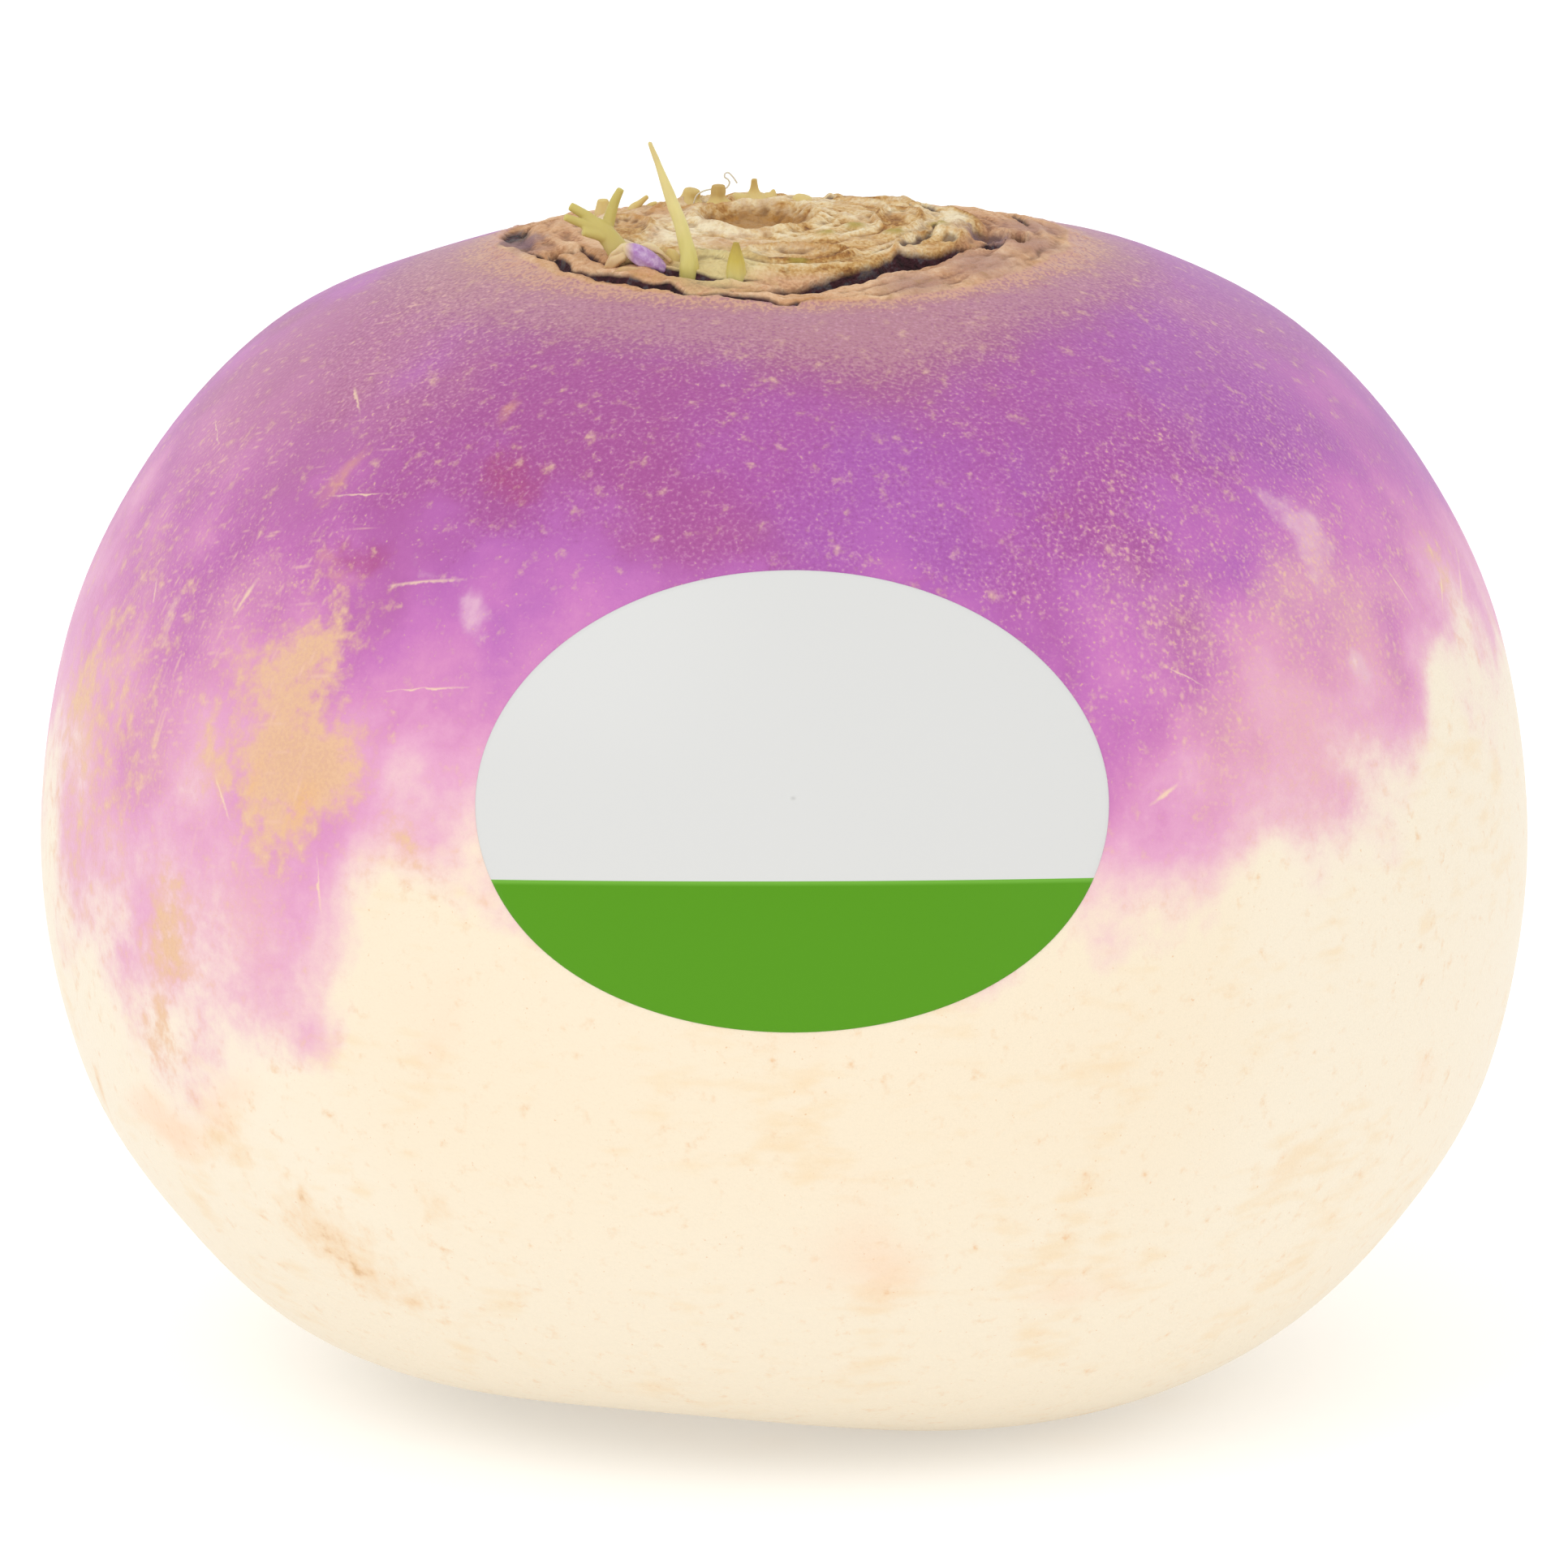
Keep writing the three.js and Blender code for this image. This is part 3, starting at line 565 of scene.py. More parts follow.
rootLook = {
    # cream through pink to deep purple, by depth into the purple
    "fadeStops": [(0.0, "#ebdcc3"), (0.08, "#ead4c3"), (0.2, "#e5bec2"), (0.35, "#dc9fbf"), (0.5, "#d086b6"),
                  (0.66, "#c06eb2"), (0.83, "#b05eaa"), (1.0, "#a44f9b")],
    "crownStops": [(0.0, "#6e4525"), (0.24, "#a0703a"), (0.44, "#c39a5e"), (0.62, "#d7b886"),
                   (0.82, "#e3cfa6"), (1.0, "#ebdcbb")],
    "corkStops": [(0.0, "#6d463a"), (0.3, "#a97a58"), (0.6, "#cd9f78"), (1.0, "#e2bf9b")],
    # dark maroon to near black in the splits: partly their own tissue, partly painted shade
    "splitTissueAndShadeStops": [(0.36, "#260f13"), (0.5, "#421c24"), (0.6, "#4d464b"), (0.72, "#6a523f")],
    # textures: cell in mm, octaves past the first, roughness
    "noises": {"grain": (1.2, 3.0, 0.62), "mottle": (0.26, 1.0, 0.5)},
    # how far noise breaks up the purple's edge, and where it lets each kind of mark lie, by depth of colour
    "breakUp": [("cloud", 0.45), ("grain", 0.22)], "breakUpMiddle": 0.335,
    "areas": {"purpleOnly": (0.45, 0.9), "scratchArea": (0.1, 0.6), "creamOnly": (0.3, 0.05)},
    # short scratches: cell in mm, times longer along, turn in degrees, half width as a share of the cell
    "dashes": {"upright": (0.8, 10.0, (0, 14, 0), 0.26), "level": (0.8, 12.0, (0, 82, -32), 0.24)},
    # faint level strokes: cell in mm, times longer
    "wisp": (1.1, 2.8),
    # long scratches: azimuth, height in mm, lean from level in degrees, half length and half width in mm
    "slivers": [(-135, 66.2, 12, 3.5, 0.13), (-124, 62.0, 13, 3.8, 0.22), (-121, 55.8, 10, 4.8, 0.12),
                (-128, 42.6, -79, 3.3, 0.17), (-139, 46.6, -53, 2.6, 0.16), (-143, 59.2, 73, 2.1, 0.3),
                (-165, 66.4, -16, 3.5, 0.12), (-145, 70.6, -35, 2.8, 0.2), (-157, 57.3, -54, 1.9, 0.2),
                (-59, 49.2, 26, 2.1, 0.24), (-11, 56.0, 29, 4.8, 0.3), (-25, 57.7, -73, 2.4, 0.14),
                (-17, 56.5, 40, 2.5, 0.16), (-55, 56.2, -34, 1.9, 0.1), (25, 55, 60, 5.0, 0.2),
                (95, 58, -50, 4.0, 0.18)],
    "sliverDepth": 1.6, "wander": 0.5,
    # laid one over another: colour, what it follows, noise and its share, low, high, amount, and the area
    # that it keeps to, if any
    "layers": [
        ("#ece2cf", "creamOnly", "ivory", 1.0, 1.0, 2.0, 0.6),
        ("#e8c795", "cloud", "wisp", 1.0, 1.04, 1.5, 0.38, "creamOnly"),
        ("#a358ac", "tone", "cloud", 0.5, 0.74, 1.0, 0.5, "purpleOnly"),
        ("#9c447c", "tone", "cloud", -0.5, 0.25, 0.0, 0.45, "purpleOnly"),
        ("#a03a68", "magenta", "grain", 0.7, 0.65, 1.3, 0.5),
        ("#efcaae", "blush", "cloud", 0.6, 0.4, 1.1, 0.6),
        # painted sheen: a paler, greyer pink on the left and right limbs
        ("#bb868f", "dusty", "cloud", 0.5, 0.4, 1.1, 0.4, "scratchArea"),
        # the shoulder round the crown darker and greyer
        ("#a0697c", "shoulder", "grain", 0.5, 0.4, 1.2, 0.6),
        ("#bf9587", "shoulder", "mottle", 1.4, 1.15, 1.75, 0.36),
        ("#dfb68b", "tan", "grain", 1.8, 1.0, 1.8, 0.9),
        ("#c99c72", "tan", "mottle", 1.6, 1.45, 2.2, 0.35),
        ("#dcb2c4", "pale", "grain", 0.8, 0.7, 1.3, 0.75),
        ("#ecd9cc", "pale", "grain", 0.8, 1.35, 1.9, 0.6),
        ("#e2ad68", "rust", "grain", 0.7, 0.5, 1.3, 0.6),
        ("#a2662f", "rust", "grain", 1.3, 1.25, 2.0, 0.8),
        ("#cb94b5", "purpleOnly", "mottle", 1.0, 1.46, 1.8, 0.35),
        ("#8e427c", "purpleOnly", "mottle", -1.0, 0.52, 0.8, 0.4),
        ("#d79fb4", "scratchy", "mottle", 1.6, 1.35, 1.95, 0.25, "scratchArea"),
        ("#e3b8a6", "scratchy", "upright", 0.5, 0.7, 1.25, 0.6, "scratchArea"),
        ("#e3b8a6", "scratchy", "level", 0.5, 0.7, 1.25, 0.6, "scratchArea"),
        ("#e0b493", "scratchy", "mottle", 2.4, 2.2, 2.65, 0.55, "scratchArea"),
        ("#ebcfac", "slivers", "grain", 1.8, 1.0, 2.0, 0.8),
        ("#d8995c", "creamOnly", "mottle", 1.0, 1.72, 1.84, 0.5),
        ("#dda468", "creamOnly", "grain", 1.0, 1.69, 1.84, 0.4),
        ("#b2847c", "cork", "grain", 0.8, 0.5, 1.3, 0.7, "scratchArea"),
        ("#cfa184", "cork", "mottle", 2.4, 1.65, 2.25, 0.72, "scratchArea"),
    ],
    # the crown's shade: fibres broken up by noise, between two ends; where the crown and its splits show
    "shadeShares": [("grain", 0.55), ("mottle", 0.6)], "shadeEnds": (0.6, 1.42),
    "tissueEdge": (0.3, 0.7), "splitEdge": (0.1, 0.36),
    # from living skin to dry cork
    "roughness": (0.46, 0.85), "relief": (0.3, 0.8), "reliefDepth": 0.2,
    # laid over the crown, with a share of the grain: colour, what it follows, low, high, amount
    "crownGrain": 0.8,
    "crownLayers": [
        ("#bf8550", "stain", 0.86, 1.2, 0.7), ("#a98278", "dusk", 0.6, 1.3, 0.75),
        ("#dbcd94", "sap", 0.5, 1.1, 0.8), ("#a06e2c", "heart", 0.35, 1.0, 0.85),
        # dark brown in the hollows: partly browned tissue, partly painted shade
        ("#a5903e", "green", 0.5, 1.2, 0.85), ("#5f4334", "hollow", 0.5, 1.2, 0.7),
        ("#80646f", "bruise", 0.7, 1.15, 0.8),
    ],
}

# turnip skin: thin, waxy and alive over moist flesh, so it is satin, with a faint bloom at its limbs
rootSkin, tree, shader = newMaterial("turnip_skin", {
    "IOR": 1.4, "Sheen Weight": 0.05, "Sheen Roughness": 0.4})
place = addNode(tree, "TexCoord").outputs["Object"]
sources = {name: addNode(tree, "Attribute", {"attribute_name": name}).outputs["Fac"] for name in rootMarks}
for name, (cell, octaves, rough) in rootLook["noises"].items():
    sources[name] = addNode(tree, "TexNoise", {
        "Scale": perMetre(cell), "Detail": octaves, "Roughness": rough}, {"Vector": place})

# where the purple starts: the painted depth broken up by cloudy and grainy noise
depth = sources["purple"]
for name, share in rootLook["breakUp"]:
    depth = addNode(tree, "Math", {"operation": "MULTIPLY_ADD", 1: share}, {0: sources[name], 2: depth})
middle = rootLook["breakUpMiddle"]
depth = addNode(tree, "MapRange", {"From Min": middle, "From Max": middle + 1}, {"Value": depth})
colour = addNode(tree, "ValToRGB", {"stops": rootLook["fadeStops"]}, {"Fac": depth})
for name, (low, high) in rootLook["areas"].items():
    sources[name] = addNode(tree, "MapRange", {"From Min": low, "From Max": high}, {"Value": depth})

# short scratches: points scattered through a space drawn out along one direction, so each spot is a dash
for name, (cell, longer, turn, halfWidth) in rootLook["dashes"].items():
    turned = addNode(tree, "Mapping", {
        "vector_type": "TEXTURE", "Rotation": np.radians(turn), "Scale": (1, 1, longer)}, {"Vector": place})
    dash = addNode(tree, "TexVoronoi", {"Scale": perMetre(cell)}, {"Vector": turned})
    sources[name] = addNode(tree, "MapRange", {"From Min": halfWidth, "From Max": 0.0},
                            {"Value": dash.outputs["Distance"]})

# wisps: a noise drawn out level, for the faint strokes in the cream
cell, longer = rootLook["wisp"]
drawnOut = addNode(tree, "Mapping", {"vector_type": "TEXTURE", "Scale": (longer, longer, 1)},
                   {"Vector": place})
sources["wisp"] = addNode(tree, "TexNoise", {"Scale": perMetre(cell), "Detail": 2.0}, {"Vector": drawnOut})

# long scratches: each a thin spindle in the skin, wandering a little; where they cross, the stronger shows
wander = rootLook["wander"] * mm
wandering = addNode(tree, "VectorMath", {"operation": "MULTIPLY_ADD", 1: (wander, 0, wander)},
                    {0: sources["grain"], 2: place})
spindles = []
for azimuth, height, lean, halfLength, halfWidth in rootLook["slivers"]:
    radius, level = outlineAt(np.interp(height, outlineDense[:, 1], outlineLength) + np.array([0, 0.1]))
    here, above = rootSurface(radius, math.radians(azimuth), level)
    beside = rootSurface(radius, math.radians(azimuth + 0.2), level)[0]
    sideways, upwards = Vector(beside - here).normalized(), Vector(above - here).normalized()
    along = sideways * math.cos(math.radians(lean)) + upwards * math.sin(math.radians(lean))
    outOf = sideways.cross(upwards)
    turned = Matrix((along, outOf.cross(along), outOf)).transposed().to_euler()
    local = addNode(tree, "Mapping", {
        "vector_type": "TEXTURE", "Location": here * mm + (wander / 2, 0, wander / 2), "Rotation": turned,
        "Scale": (halfLength * mm, halfWidth * mm, rootLook["sliverDepth"] * mm)}, {"Vector": wandering})
    spindle = addNode(tree, "TexGradient", {"gradient_type": "SPHERICAL"}, {"Vector": local})
    spindles.append(spindle.outputs["Fac"])
sources["slivers"] = spindles[0]
for spindle in spindles[1:]:
    sources["slivers"] = addNode(tree, "Math", {"operation": "MAXIMUM"}, {0: spindle, 1: sources["slivers"]})


def laidOver(under, over, follows, low, high, amount=1.0, noise=None, share=0.0, ease="LINEAR", area=None):
    # a colour over another where a mark, broken up by noise, rises from low to high
    mark = sources[follows]
    if noise:
        mark = addNode(tree, "Math", {"operation": "MULTIPLY_ADD", 1: share}, {0: sources[noise], 2: mark})
    mask = addNode(tree, "MapRange", {
        "interpolation_type": ease, "From Min": low, "From Max": high, "To Max": amount}, {"Value": mark})
    if area:
        mask = addNode(tree, "Math", {"operation": "MULTIPLY"}, {0: mask, 1: sources[area]})
    plain, linked = ({7: linearColour(over)}, {}) if isinstance(over, str) else ({}, {7: over})
    return addNode(tree, "Mix", {"data_type": "RGBA", **plain}, {0: mask, 6: under, **linked}).outputs[2]


for over, follows, noise, share, low, high, amount, *area in rootLook["layers"]:
    colour = laidOver(colour, over, follows, low, high, amount, noise, share, "SMOOTHSTEP", *area)

# crown tissue: creamy cut leaf bases inside, tan cork round them, dark in the splits
shade = sources["fibre"]
for name, share in rootLook["shadeShares"]:
    shade = addNode(tree, "Math", {"operation": "MULTIPLY_ADD", 1: share}, {0: sources[name], 2: shade})
low, high = rootLook["shadeEnds"]
shade = addNode(tree, "MapRange", {"From Min": low, "From Max": high}, {"Value": shade})
disc, cork, splitFloorAndShade = [addNode(tree, "ValToRGB", {"stops": rootLook[stops]}, {"Fac": follows})
                          for stops, follows in (("crownStops", shade), ("corkStops", shade),
                                                 ("splitTissueAndShadeStops", sources["grain"]))]
crownColour = addNode(tree, "Mix", {"data_type": "RGBA"}, {0: sources["disc"], 6: cork, 7: disc}).outputs[2]
for over, follows, low, high, amount in rootLook["crownLayers"]:
    crownColour = laidOver(crownColour, over, follows, low, high, amount, "grain", rootLook["crownGrain"])
colour = laidOver(colour, crownColour, "tissue", *rootLook["tissueEdge"])
# the splits painted dark: partly their dark tissue, partly painted shade down the crevices
colour = laidOver(colour, splitFloorAndShade, "split", *rootLook["splitEdge"])
tree.links.new(colour, shader.inputs["Base Color"])

# dry cork is matt and living skin is satin; skin cells lift the surface a little
roughness, relief = [addNode(tree, "MapRange", {"To Min": rootLook[name][0], "To Max": rootLook[name][1]},
                             {"Value": sources["tissue"]}) for name in ("roughness", "relief")]
tree.links.new(roughness.outputs[0], shader.inputs["Roughness"])
bump = addNode(tree, "Bump", {"Distance": rootLook["reliefDepth"] * mm},
               {"Height": sources["mottle"], "Strength": relief})
tree.links.new(bump.outputs[0], shader.inputs["Normal"])

rootPiece = gridPiece("swollen_root", points, rootSkin, rootMarks)
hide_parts("turnip_root")
print("stage: swollen root,", points.shape)


# shoots, buds and stumps

def tube(axis, radii, columns=28, rows=60, ribs=0.0, seed=5, wobble=0.04, cell=0.9):
    # a round section carried along a smooth path, its radius from the list, ribbed and wobbled a little;
    # the wobble and its cell are in mm
    path = catmull(axis, rows)
    radius = catmull(np.stack([np.array(radii, float)] * 2, -1), rows)[:, 0]
    tangent = np.gradient(path, axis=0)
    tangent /= np.linalg.norm(tangent, axis=1, keepdims=True)
    side = np.cross([0.0, 1.0, 0.0], tangent)
    side /= np.linalg.norm(side, axis=1, keepdims=True)
    front = np.cross(tangent, side)
    around = np.linspace(0, 2 * math.pi, columns, endpoint=False)
    ring = side[:, None] * np.cos(around)[None, :, None] + front[:, None] * np.sin(around)[None, :, None]
    reach = radius[:, None] * (1 + ribs * np.cos(5 * around)[None])
    surface = path[:, None] + ring * reach[..., None]
    uneven = noiseAt(surface, cell, seed, 2) - 0.5
    surface += ring * (wobble * 2 * uneven)[..., None]
    surface[0], surface[-1] = path[0], path[-1]
    return surface


def groundAt(x, y):
    # height of the crown's usual surface at a place
    return float(crownGround(np.array(x, float), np.array(y, float))) + crown["usualRise"]


def raised(axis, foot=None):
    # path heights counted from the crown at the foot
    ground = groundAt(*(foot or axis[0][:2]))
    return [(x, y, z + ground) for x, y, z in axis]


fibreLook = {"cell": 0.35, "octaves": 4.0, "along": 0.25, "share": 0.35, "less": 0.17,
             "relief": 0.3, "reliefDepth": 0.1}


def shootMaterial(name, stops, low, high, roughness):
    # young plant tissue: moist and thin, so smooth and a little translucent; it changes colour upwards
    material, tree, shader = newMaterial(name, {
        "Roughness": roughness, "IOR": 1.4, "Subsurface Weight": 0.2, "Subsurface Radius": (0.6, 0.7, 0.2),
        "Subsurface Scale": mm})
    place = addNode(tree, "TexCoord").outputs["Object"]
    split = addNode(tree, "SeparateXYZ", {}, {"Vector": place})
    stretch = addNode(tree, "Mapping", {"Scale": (1, 1, fibreLook["along"])}, {"Vector": place})
    fibre = addNode(tree, "TexNoise", {"Scale": perMetre(fibreLook["cell"]), "Detail": fibreLook["octaves"]},
                    {"Vector": stretch})
    up = addNode(tree, "MapRange", {"From Min": low * mm, "From Max": high * mm},
                 {"Value": split.outputs["Z"]})
    mixed = addNode(tree, "Math", {"operation": "MULTIPLY_ADD", 1: fibreLook["share"]}, {0: fibre, 2: up})
    shifted = addNode(tree, "Math", {"operation": "SUBTRACT", 1: fibreLook["less"]}, {0: mixed})
    ramp = addNode(tree, "ValToRGB", {"stops": stops}, {"Fac": shifted})
    tree.links.new(ramp.outputs[0], shader.inputs["Base Color"])
    bump = addNode(tree, "Bump", {"Strength": fibreLook["relief"], "Distance": fibreLook["reliefDepth"] * mm},
                   {"Height": fibre})
    tree.links.new(bump.outputs[0], shader.inputs["Normal"])
    return material


tallLook = {
    "axis": [(-6.3, -12.7, -2.0), (-6.3, -12.7, 0), (-6.4, -12.7, 1.1), (-6.86, -12.7, 3.0),
             (-7.5, -12.7, 4.7), (-8.24, -12.7, 6.8), (-8.93, -12.7, 8.6)],
    "radii": [0.75, 0.68, 0.53, 0.46, 0.38, 0.23, 0.15],
    # colour from foot to tip, the heights in mm it changes between, roughness
    "tissue": ([(0.0, "#cdbd6a"), (0.2, "#d5ca7c"), (0.5, "#ddd08c"), (0.85, "#d6c585"), (1.0, "#cdb97e")],
               77.5, 87, 0.4),
}
tallMaterial = shootMaterial("young_shoot_tissue", *tallLook["tissue"])
tallShoot = gridPiece("tall_shoot", tube(raised(tallLook["axis"]), tallLook["radii"], ribs=0.03),
                      tallMaterial)
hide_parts("shoot_tall")

forkedLook = {
    "stem": ([(-10.2, -9.7, -1.6), (-10.6, -9.6, -0.4), (-11.4, -9.4, 0.85), (-12.3, -9.3, 1.85),
              (-13.2, -9.2, 2.45)],
             [0.8, 0.8, 0.72, 0.6, 0.3]),
    "fingers": [([(-12.3, -9.2, 1.9), (-13.3, -9.1, 2.7), (-14.25, -9.0, 3.25)], [0.46, 0.36, 0.27]),
                ([(-12.3, -9.5, 1.7), (-13.6, -9.8, 2.3), (-14.6, -10.1, 2.75)], [0.42, 0.3, 0.22]),
                ([(-11.9, -8.9, 1.2), (-11.5, -8.8, 2.7), (-11.2, -8.8, 3.6), (-10.8, -8.8, 4.4)],
                 [0.5, 0.4, 0.34, 0.24]),
                ([(-11.8, -9.6, 1.2), (-12.7, -9.9, 1.55), (-13.4, -10.1, 1.75)], [0.42, 0.34, 0.26])],
    "foot": (-11.3, -9.4),
    "tissue": ([(0.0, "#c9b67c"), (0.5, "#c5b46a"), (1.0, "#c0b062")], 77.8, 82, 0.5),
}
forkedMaterial = shootMaterial("forked_shoot_tissue", *forkedLook["tissue"])


def fused(name, surfaces, material, voxel=0.07, smoothings=4):
    # overlapping closed tubes become one skin: a voxel remesh with cells in mm, then a little smoothing
    parts = [gridPiece(name + str(i), surface, material) for i, surface in enumerate(surfaces)]
    with bpy.context.temp_override(active_object=parts[0], selected_editable_objects=parts):
        bpy.ops.object.join()
    whole = parts[0]
    whole.name = name
    remesh = whole.modifiers.new("fuse", "REMESH")
    remesh.mode = "VOXEL"
    remesh.voxel_size = voxel * mm
    remesh.use_smooth_shade = True
    soften = whole.modifiers.new("soften", "SMOOTH")
    soften.iterations = smoothings
    return whole


branches = [forkedLook["stem"]] + forkedLook["fingers"]
forkedTubes = [tube(raised(axis, forkedLook["foot"]), radii, 20, 30) for axis, radii in branches]
forkedShoot = fused("forked_shoot", forkedTubes, forkedMaterial)
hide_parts("shoot_forked")

stumpLook = {
    "stalks": [
        ([(-6.35, 6.7, -1.2), (-6.35, 6.7, -0.1), (-6.3, 6.7, 0.4), (-6.15, 6.7, 0.8), (-6.1, 6.7, 1.0)],
         [1.3, 1.0, 0.62, 0.58, 0.4]),
        ([(-4.4, 4.5, -1.2), (-4.4, 4.5, -0.1), (-4.45, 4.5, 0.5), (-4.4, 4.5, 1.0), (-4.4, 4.5, 1.4)],
         [1.3, 1.1, 0.55, 0.52, 0.42]),
        ([(-2.0, 7.1, -1.2), (-2.0, 7.1, -0.1), (-2.0, 7.1, 0.55), (-2.0, 7.1, 1.15), (-2.02, 7.1, 1.5)],
         [1.4, 1.1, 0.42, 0.24, 0.21]),
        ([(-0.9, 7.6, -1.0), (-0.9, 7.6, 0), (-0.75, 7.6, 0.4), (-0.7, 7.6, 0.75)], [1.0, 0.7, 0.3, 0.08]),
        ([(-2.9, 6.6, -1.0), (-2.9, 6.6, 0), (-2.85, 6.6, 0.5)], [1.0, 0.85, 0.45]),
        ([(1.3, 7.0, -1.0), (1.3, 7.0, 0), (1.35, 7.0, 0.35)], [1.1, 0.85, 0.4]),
        ([(-12.1, 5.0, -1.0), (-12.1, 5.0, 0), (-12.15, 5.0, 0.85)], [0.8, 0.6, 0.36]),
        ([(-10.3, 4.5, -1.0), (-10.1, 4.5, 0), (-9.6, 4.5, 0.5), (-9.1, 4.5, 0.95)],
         [0.55, 0.38, 0.22, 0.15]),
        ([(-9.4, 4.6, -0.6), (-9.0, 4.7, 0.1), (-8.5, 4.8, 0.4)], [0.4, 0.25, 0.08]),
        ([(-7.4, -11.0, -1.0), (-7.4, -11.0, 0), (-7.45, -11.0, 0.5), (-7.4, -11.0, 0.75)],
         [0.7, 0.55, 0.42, 0.24]),
    ],
    "tissue": ([(0.0, "#dcc88f"), (0.5, "#d0b877"), (1.0, "#b08c4e")], 77.5, 80.5, 0.7),
}
stumpMaterial = shootMaterial("dry_stalk_stump", *stumpLook["tissue"])
stumpTubes = [tube(raised(axis), radii, 18, 24) for axis, radii in stumpLook["stalks"]]
fused("leaf_stumps", stumpTubes, stumpMaterial)

# a dried root hair caught on the back stumps, its loose end curled up
threadLook = {
    "radius": 0.055,
    "axis": [(-6.1, 5.6, 78.4), (-5.88, 5.5, 79.1), (-5.44, 5.5, 79.44), (-4.9, 5.5, 79.58),
             (-4.4, 5.3, 79.62), (-3.89, 5.4, 79.68), (-3.66, 5.4, 80.01), (-3.75, 5.3, 80.29),
             (-3.98, 5.2, 80.49), (-3.94, 5.2, 80.73), (-3.7, 5.3, 80.75), (-3.37, 5.4, 80.38),
             (-3.14, 5.5, 79.99)],
    "tissue": ([(0.0, "#cfc6b4"), (1.0, "#ddd8cb")], 77, 82, 0.7),
}
threadMaterial = shootMaterial("dry_root_hair", *threadLook["tissue"])
threadAxis = threadLook["axis"]
threadRadii = [threadLook["radius"]] * len(threadAxis)
gridPiece("dry_root_hair", tube(threadAxis, threadRadii, 10, 120, wobble=0.0), threadMaterial)
print("stage: shoots and stumps")

# lilac bud: an egg with pleats, pointed at its lower right end, cream where its sheath holds it
lilacLook = {"middle": (-9.15, -12.2, 0.55), "halfLength": 1.7, "radius": 0.66, "slope": 31,
             "taper": 0.18, "pleats": 6, "pleatDepth": 0.05, "pleatTwist": 1.5, "rows": 70, "columns": 60,
             "streak": 0.3, "sheath": "#d6c090", "sheathed": (-9.9, -10.6),
             "stops": [(0.3, "#a474ac"), (0.5, "#b48fc0"), (0.7, "#ccb2cf")]}
lilacMaterial, tree, shader = newMaterial("lilac_bud_petal", {
    # petals folded tight: matt and soft, with pale streaks where they overlap
    "Roughness": 0.6, "IOR": 1.4, "Subsurface Weight": 0.15, "Subsurface Radius": (0.6, 0.4, 0.6),
    "Subsurface Scale": mm})
place = addNode(tree, "TexCoord").outputs["Object"]
streaks = addNode(tree, "TexNoise", {"Scale": perMetre(lilacLook["streak"]), "Detail": 4.0},
                  {"Vector": place})
sideways = addNode(tree, "SeparateXYZ", {}, {"Vector": place})
low, high = lilacLook["sheathed"]
sheathed = addNode(tree, "MapRange", {"From Min": low * mm, "From Max": high * mm},
                   {"Value": sideways.outputs["X"]})
petal = addNode(tree, "ValToRGB", {"stops": lilacLook["stops"]}, {"Fac": streaks})
sheath = {"data_type": "RGBA", 7: linearColour(lilacLook["sheath"])}
colour = addNode(tree, "Mix", sheath, {0: sheathed, 6: petal}).outputs[2]
tree.links.new(colour, shader.inputs["Base Color"])


def budSurface(look):
    # an egg along a sloping axis: its radius is the root of 1 - t^2, less towards the point, and pleated
    t = np.linspace(-1, 1, look["rows"])[:, None]
    around = np.linspace(0, 2 * math.pi, look["columns"], endpoint=False)[None]
    reach = look["radius"] * np.sqrt(np.maximum(1 - t ** 2, 0)) * (1 - look["taper"] * t)
    reach = reach * (1 + look["pleatDepth"] * np.cos(look["pleats"] * around + look["pleatTwist"] * t))
    slope = math.radians(look["slope"])
    along = t * look["halfLength"]
    x = along * math.cos(slope) + reach * np.sin(around) * math.sin(slope)
    z = -along * math.sin(slope) + reach * np.sin(around) * math.cos(slope)
    y = -reach * np.cos(around)
    cx, cy, cz = look["middle"]
    return np.stack([cx + x, cy + y + 0 * t, cz + groundAt(cx, cy) + z], -1)


lilacBud = gridPiece("lilac_bud", budSurface(lilacLook)[:, ::-1], lilacMaterial)
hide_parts("bud_lilac")

# papery scales that hold the bud: a cream one behind its upper end, a brown one under it
scaleLook = {
    "blades": [([(-11.5, -10.6, -0.6), (-11.2, -10.9, 0.4), (-10.6, -11.2, 1.0), (-9.9, -11.5, 1.25)],
                [0.5, 0.42, 0.34, 0.12]),
               ([(-11.9, -11.2, -0.9), (-11.5, -11.6, -0.1), (-10.9, -12.0, 0.55), (-10.3, -12.2, 0.85)],
                [0.4, 0.4, 0.3, 0.08]),
               ([(-11.6, -12.2, -0.8), (-10.8, -12.6, -0.25), (-9.7, -12.8, -0.15), (-8.6, -12.9, -0.5),
                 (-7.6, -12.9, -1.1)], [0.26, 0.28, 0.26, 0.2, 0.08]),
               ([(-9.9, -11.3, 0.6), (-9.2, -11.4, 1.15), (-8.2, -11.6, 0.9), (-7.5, -11.8, 0.2)],
                [0.3, 0.26, 0.22, 0.12])],
    "foot": (-9.2, -12.1),
    "tissue": ([(0.0, "#a5784a"), (0.45, "#c7a376"), (1.0, "#dcc79e")], 77.2, 79.6, 0.75),
}
scaleMaterial = shootMaterial("papery_bud_scale", *scaleLook["tissue"])
scaleTubes = [tube(raised(axis, scaleLook["foot"]), radii, 24, 40, ribs=0.12, seed=7, wobble=0.2)
              for axis, radii in scaleLook["blades"]]
fused("bud_scales", scaleTubes, scaleMaterial)

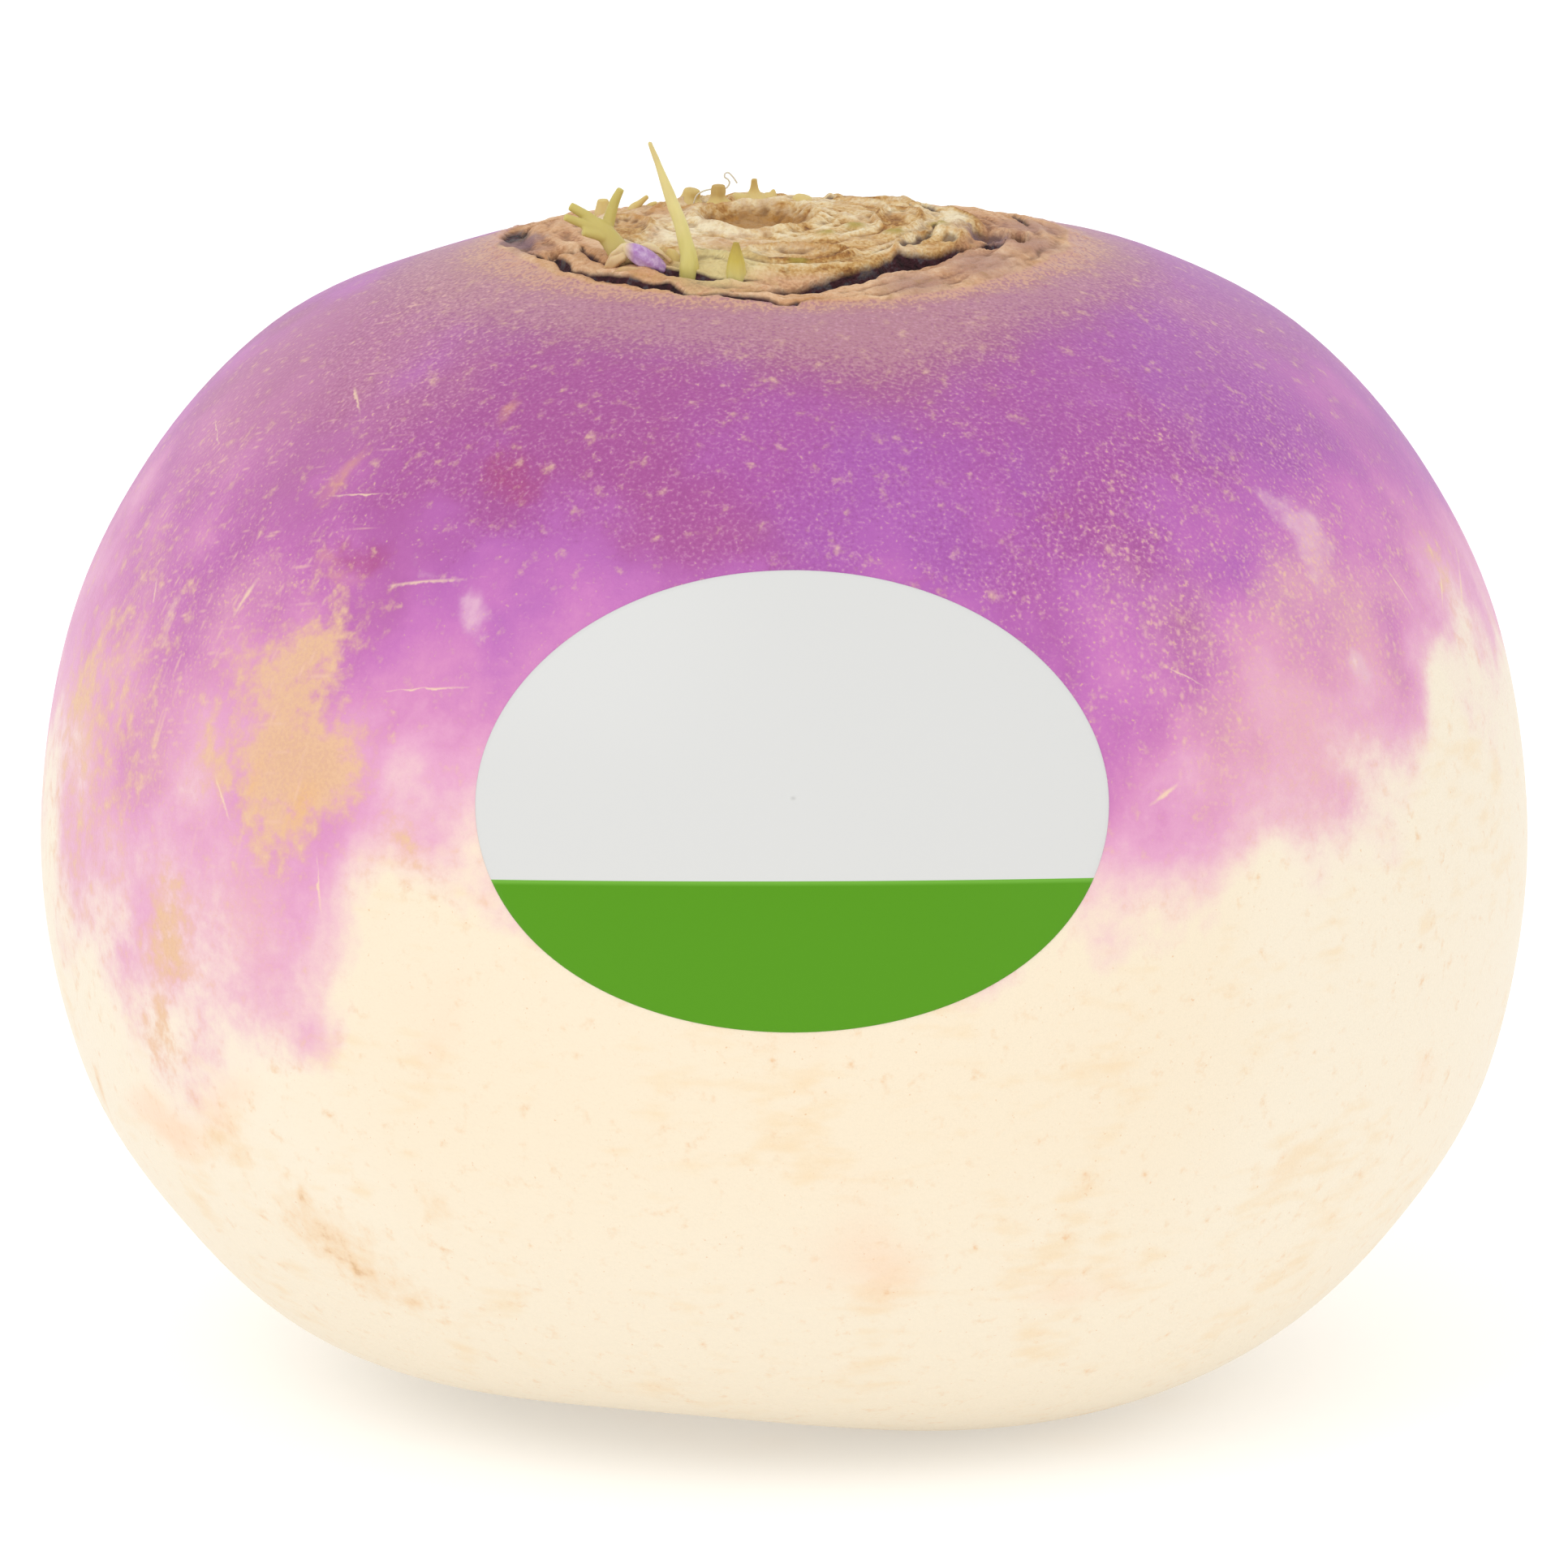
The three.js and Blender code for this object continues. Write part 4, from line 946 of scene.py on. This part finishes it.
greenLook = {"axis": [(-3.2, -13.6, -2.0), (-3.2, -13.6, 0), (-3.2, -13.6, 0.9), (-3.17, -13.6, 2.05)],
             "radii": [0.72, 0.66, 0.52, 0.16],
             "tissue": ([(0.0, "#d6c880"), (0.5, "#c4b050"), (1.0, "#a58c3b")], 77.8, 80.3, 0.5)}
greenMaterial = shootMaterial("green_bud_tissue", *greenLook["tissue"])
greenBud = gridPiece("green_bud", tube(raised(greenLook["axis"]), greenLook["radii"], ribs=0.05),
                     greenMaterial)
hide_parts("bud_green")
print("stage: buds")

# label

labelLook = {"azimuth": -89.3, "height": 50.5, "halfWidth": 21.3, "halfHeight": 15.38,
             "droop": 1.4, "tuck": 1.0, "rings": 60, "columns": 240, "thickness": 0.1,
             # the rim's share of the thickness; loops past it: share of the oval, height over the skin in mm
             "rim": 0.8, "back": [(1.004, 0.02), (1.0, -0.3), (0.5, -0.3), (0, -0.3)], "step": 0.2,
             "bandTop": -5.4, "bandSag": 0.9, "bandFade": 0.35,
             "stops": [(0.0, "#4f9000"), (0.6, "#6aa832"), (0.95, "#6aa832"), (1.0, "#d1d1cf")]}
middleLength = np.interp(labelLook["height"], outlineDense[:, 1], outlineLength)


def onSkin(across, up):
    # a place on the smooth skin, measured round the root and along its outline from the label's middle
    radius, height = outlineAt(middleLength + up)
    return rootSurface(radius, math.radians(labelLook["azimuth"]) + across / radius, height)


backShares, backHeights = zip(*labelLook["back"])
ringShares = np.concatenate([np.linspace(0, 1, labelLook["rings"]), backShares])
offsets = np.concatenate([np.full(labelLook["rings"] - 1, labelLook["thickness"]),
                          [labelLook["thickness"] * labelLook["rim"]], backHeights])
turns = np.linspace(0, 2 * math.pi, labelLook["columns"], endpoint=False)
level = ringShares[:, None] * np.cos(turns)
across = level * labelLook["halfWidth"]
up = ringShares[:, None] * np.sin(turns) * labelLook["halfHeight"] - labelLook["droop"] * level ** 2
up -= labelLook["tuck"] * level ** 2 * np.maximum(np.sin(turns), 0)
onIt = onSkin(across, up)
step = labelLook["step"]
facing = np.cross(onSkin(across + step, up) - onIt, onSkin(across, up + step) - onIt)
facing /= np.linalg.norm(facing, axis=-1, keepdims=True)
labelPoints = onIt + facing * offsets[:, None, None]

# printed polypropylene film: smooth and semi-gloss, so broad soft reflections slide over it
labelFilm, tree, shader = newMaterial("printed_film", {
    "Roughness": 0.32, "IOR": 1.49, "Specular IOR Level": 0.25})
printAcross, printUp = [addNode(tree, "Attribute", {"attribute_name": name}).outputs["Fac"]
                        for name in ("across", "up")]
squared = addNode(tree, "Math", {"operation": "POWER", 1: 2.0}, {0: printAcross})
curve = labelLook["bandSag"] / labelLook["halfWidth"] ** 2
bandLine = addNode(tree, "Math", {"operation": "MULTIPLY_ADD", 1: curve}, {0: squared, 2: printUp})
bandTop = labelLook["bandTop"]
overEdge = addNode(tree, "MapRange", {"From Min": bandTop - labelLook["bandFade"], "From Max": bandTop},
                   {"Value": bandLine})
printed = addNode(tree, "ValToRGB", {"stops": labelLook["stops"]}, {"Fac": overEdge})
tree.links.new(printed.outputs[0], shader.inputs["Base Color"])
labelPiece = gridPiece("oval_label", labelPoints, labelFilm, {"across": across, "up": up})
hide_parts("label")
print("stage: label")
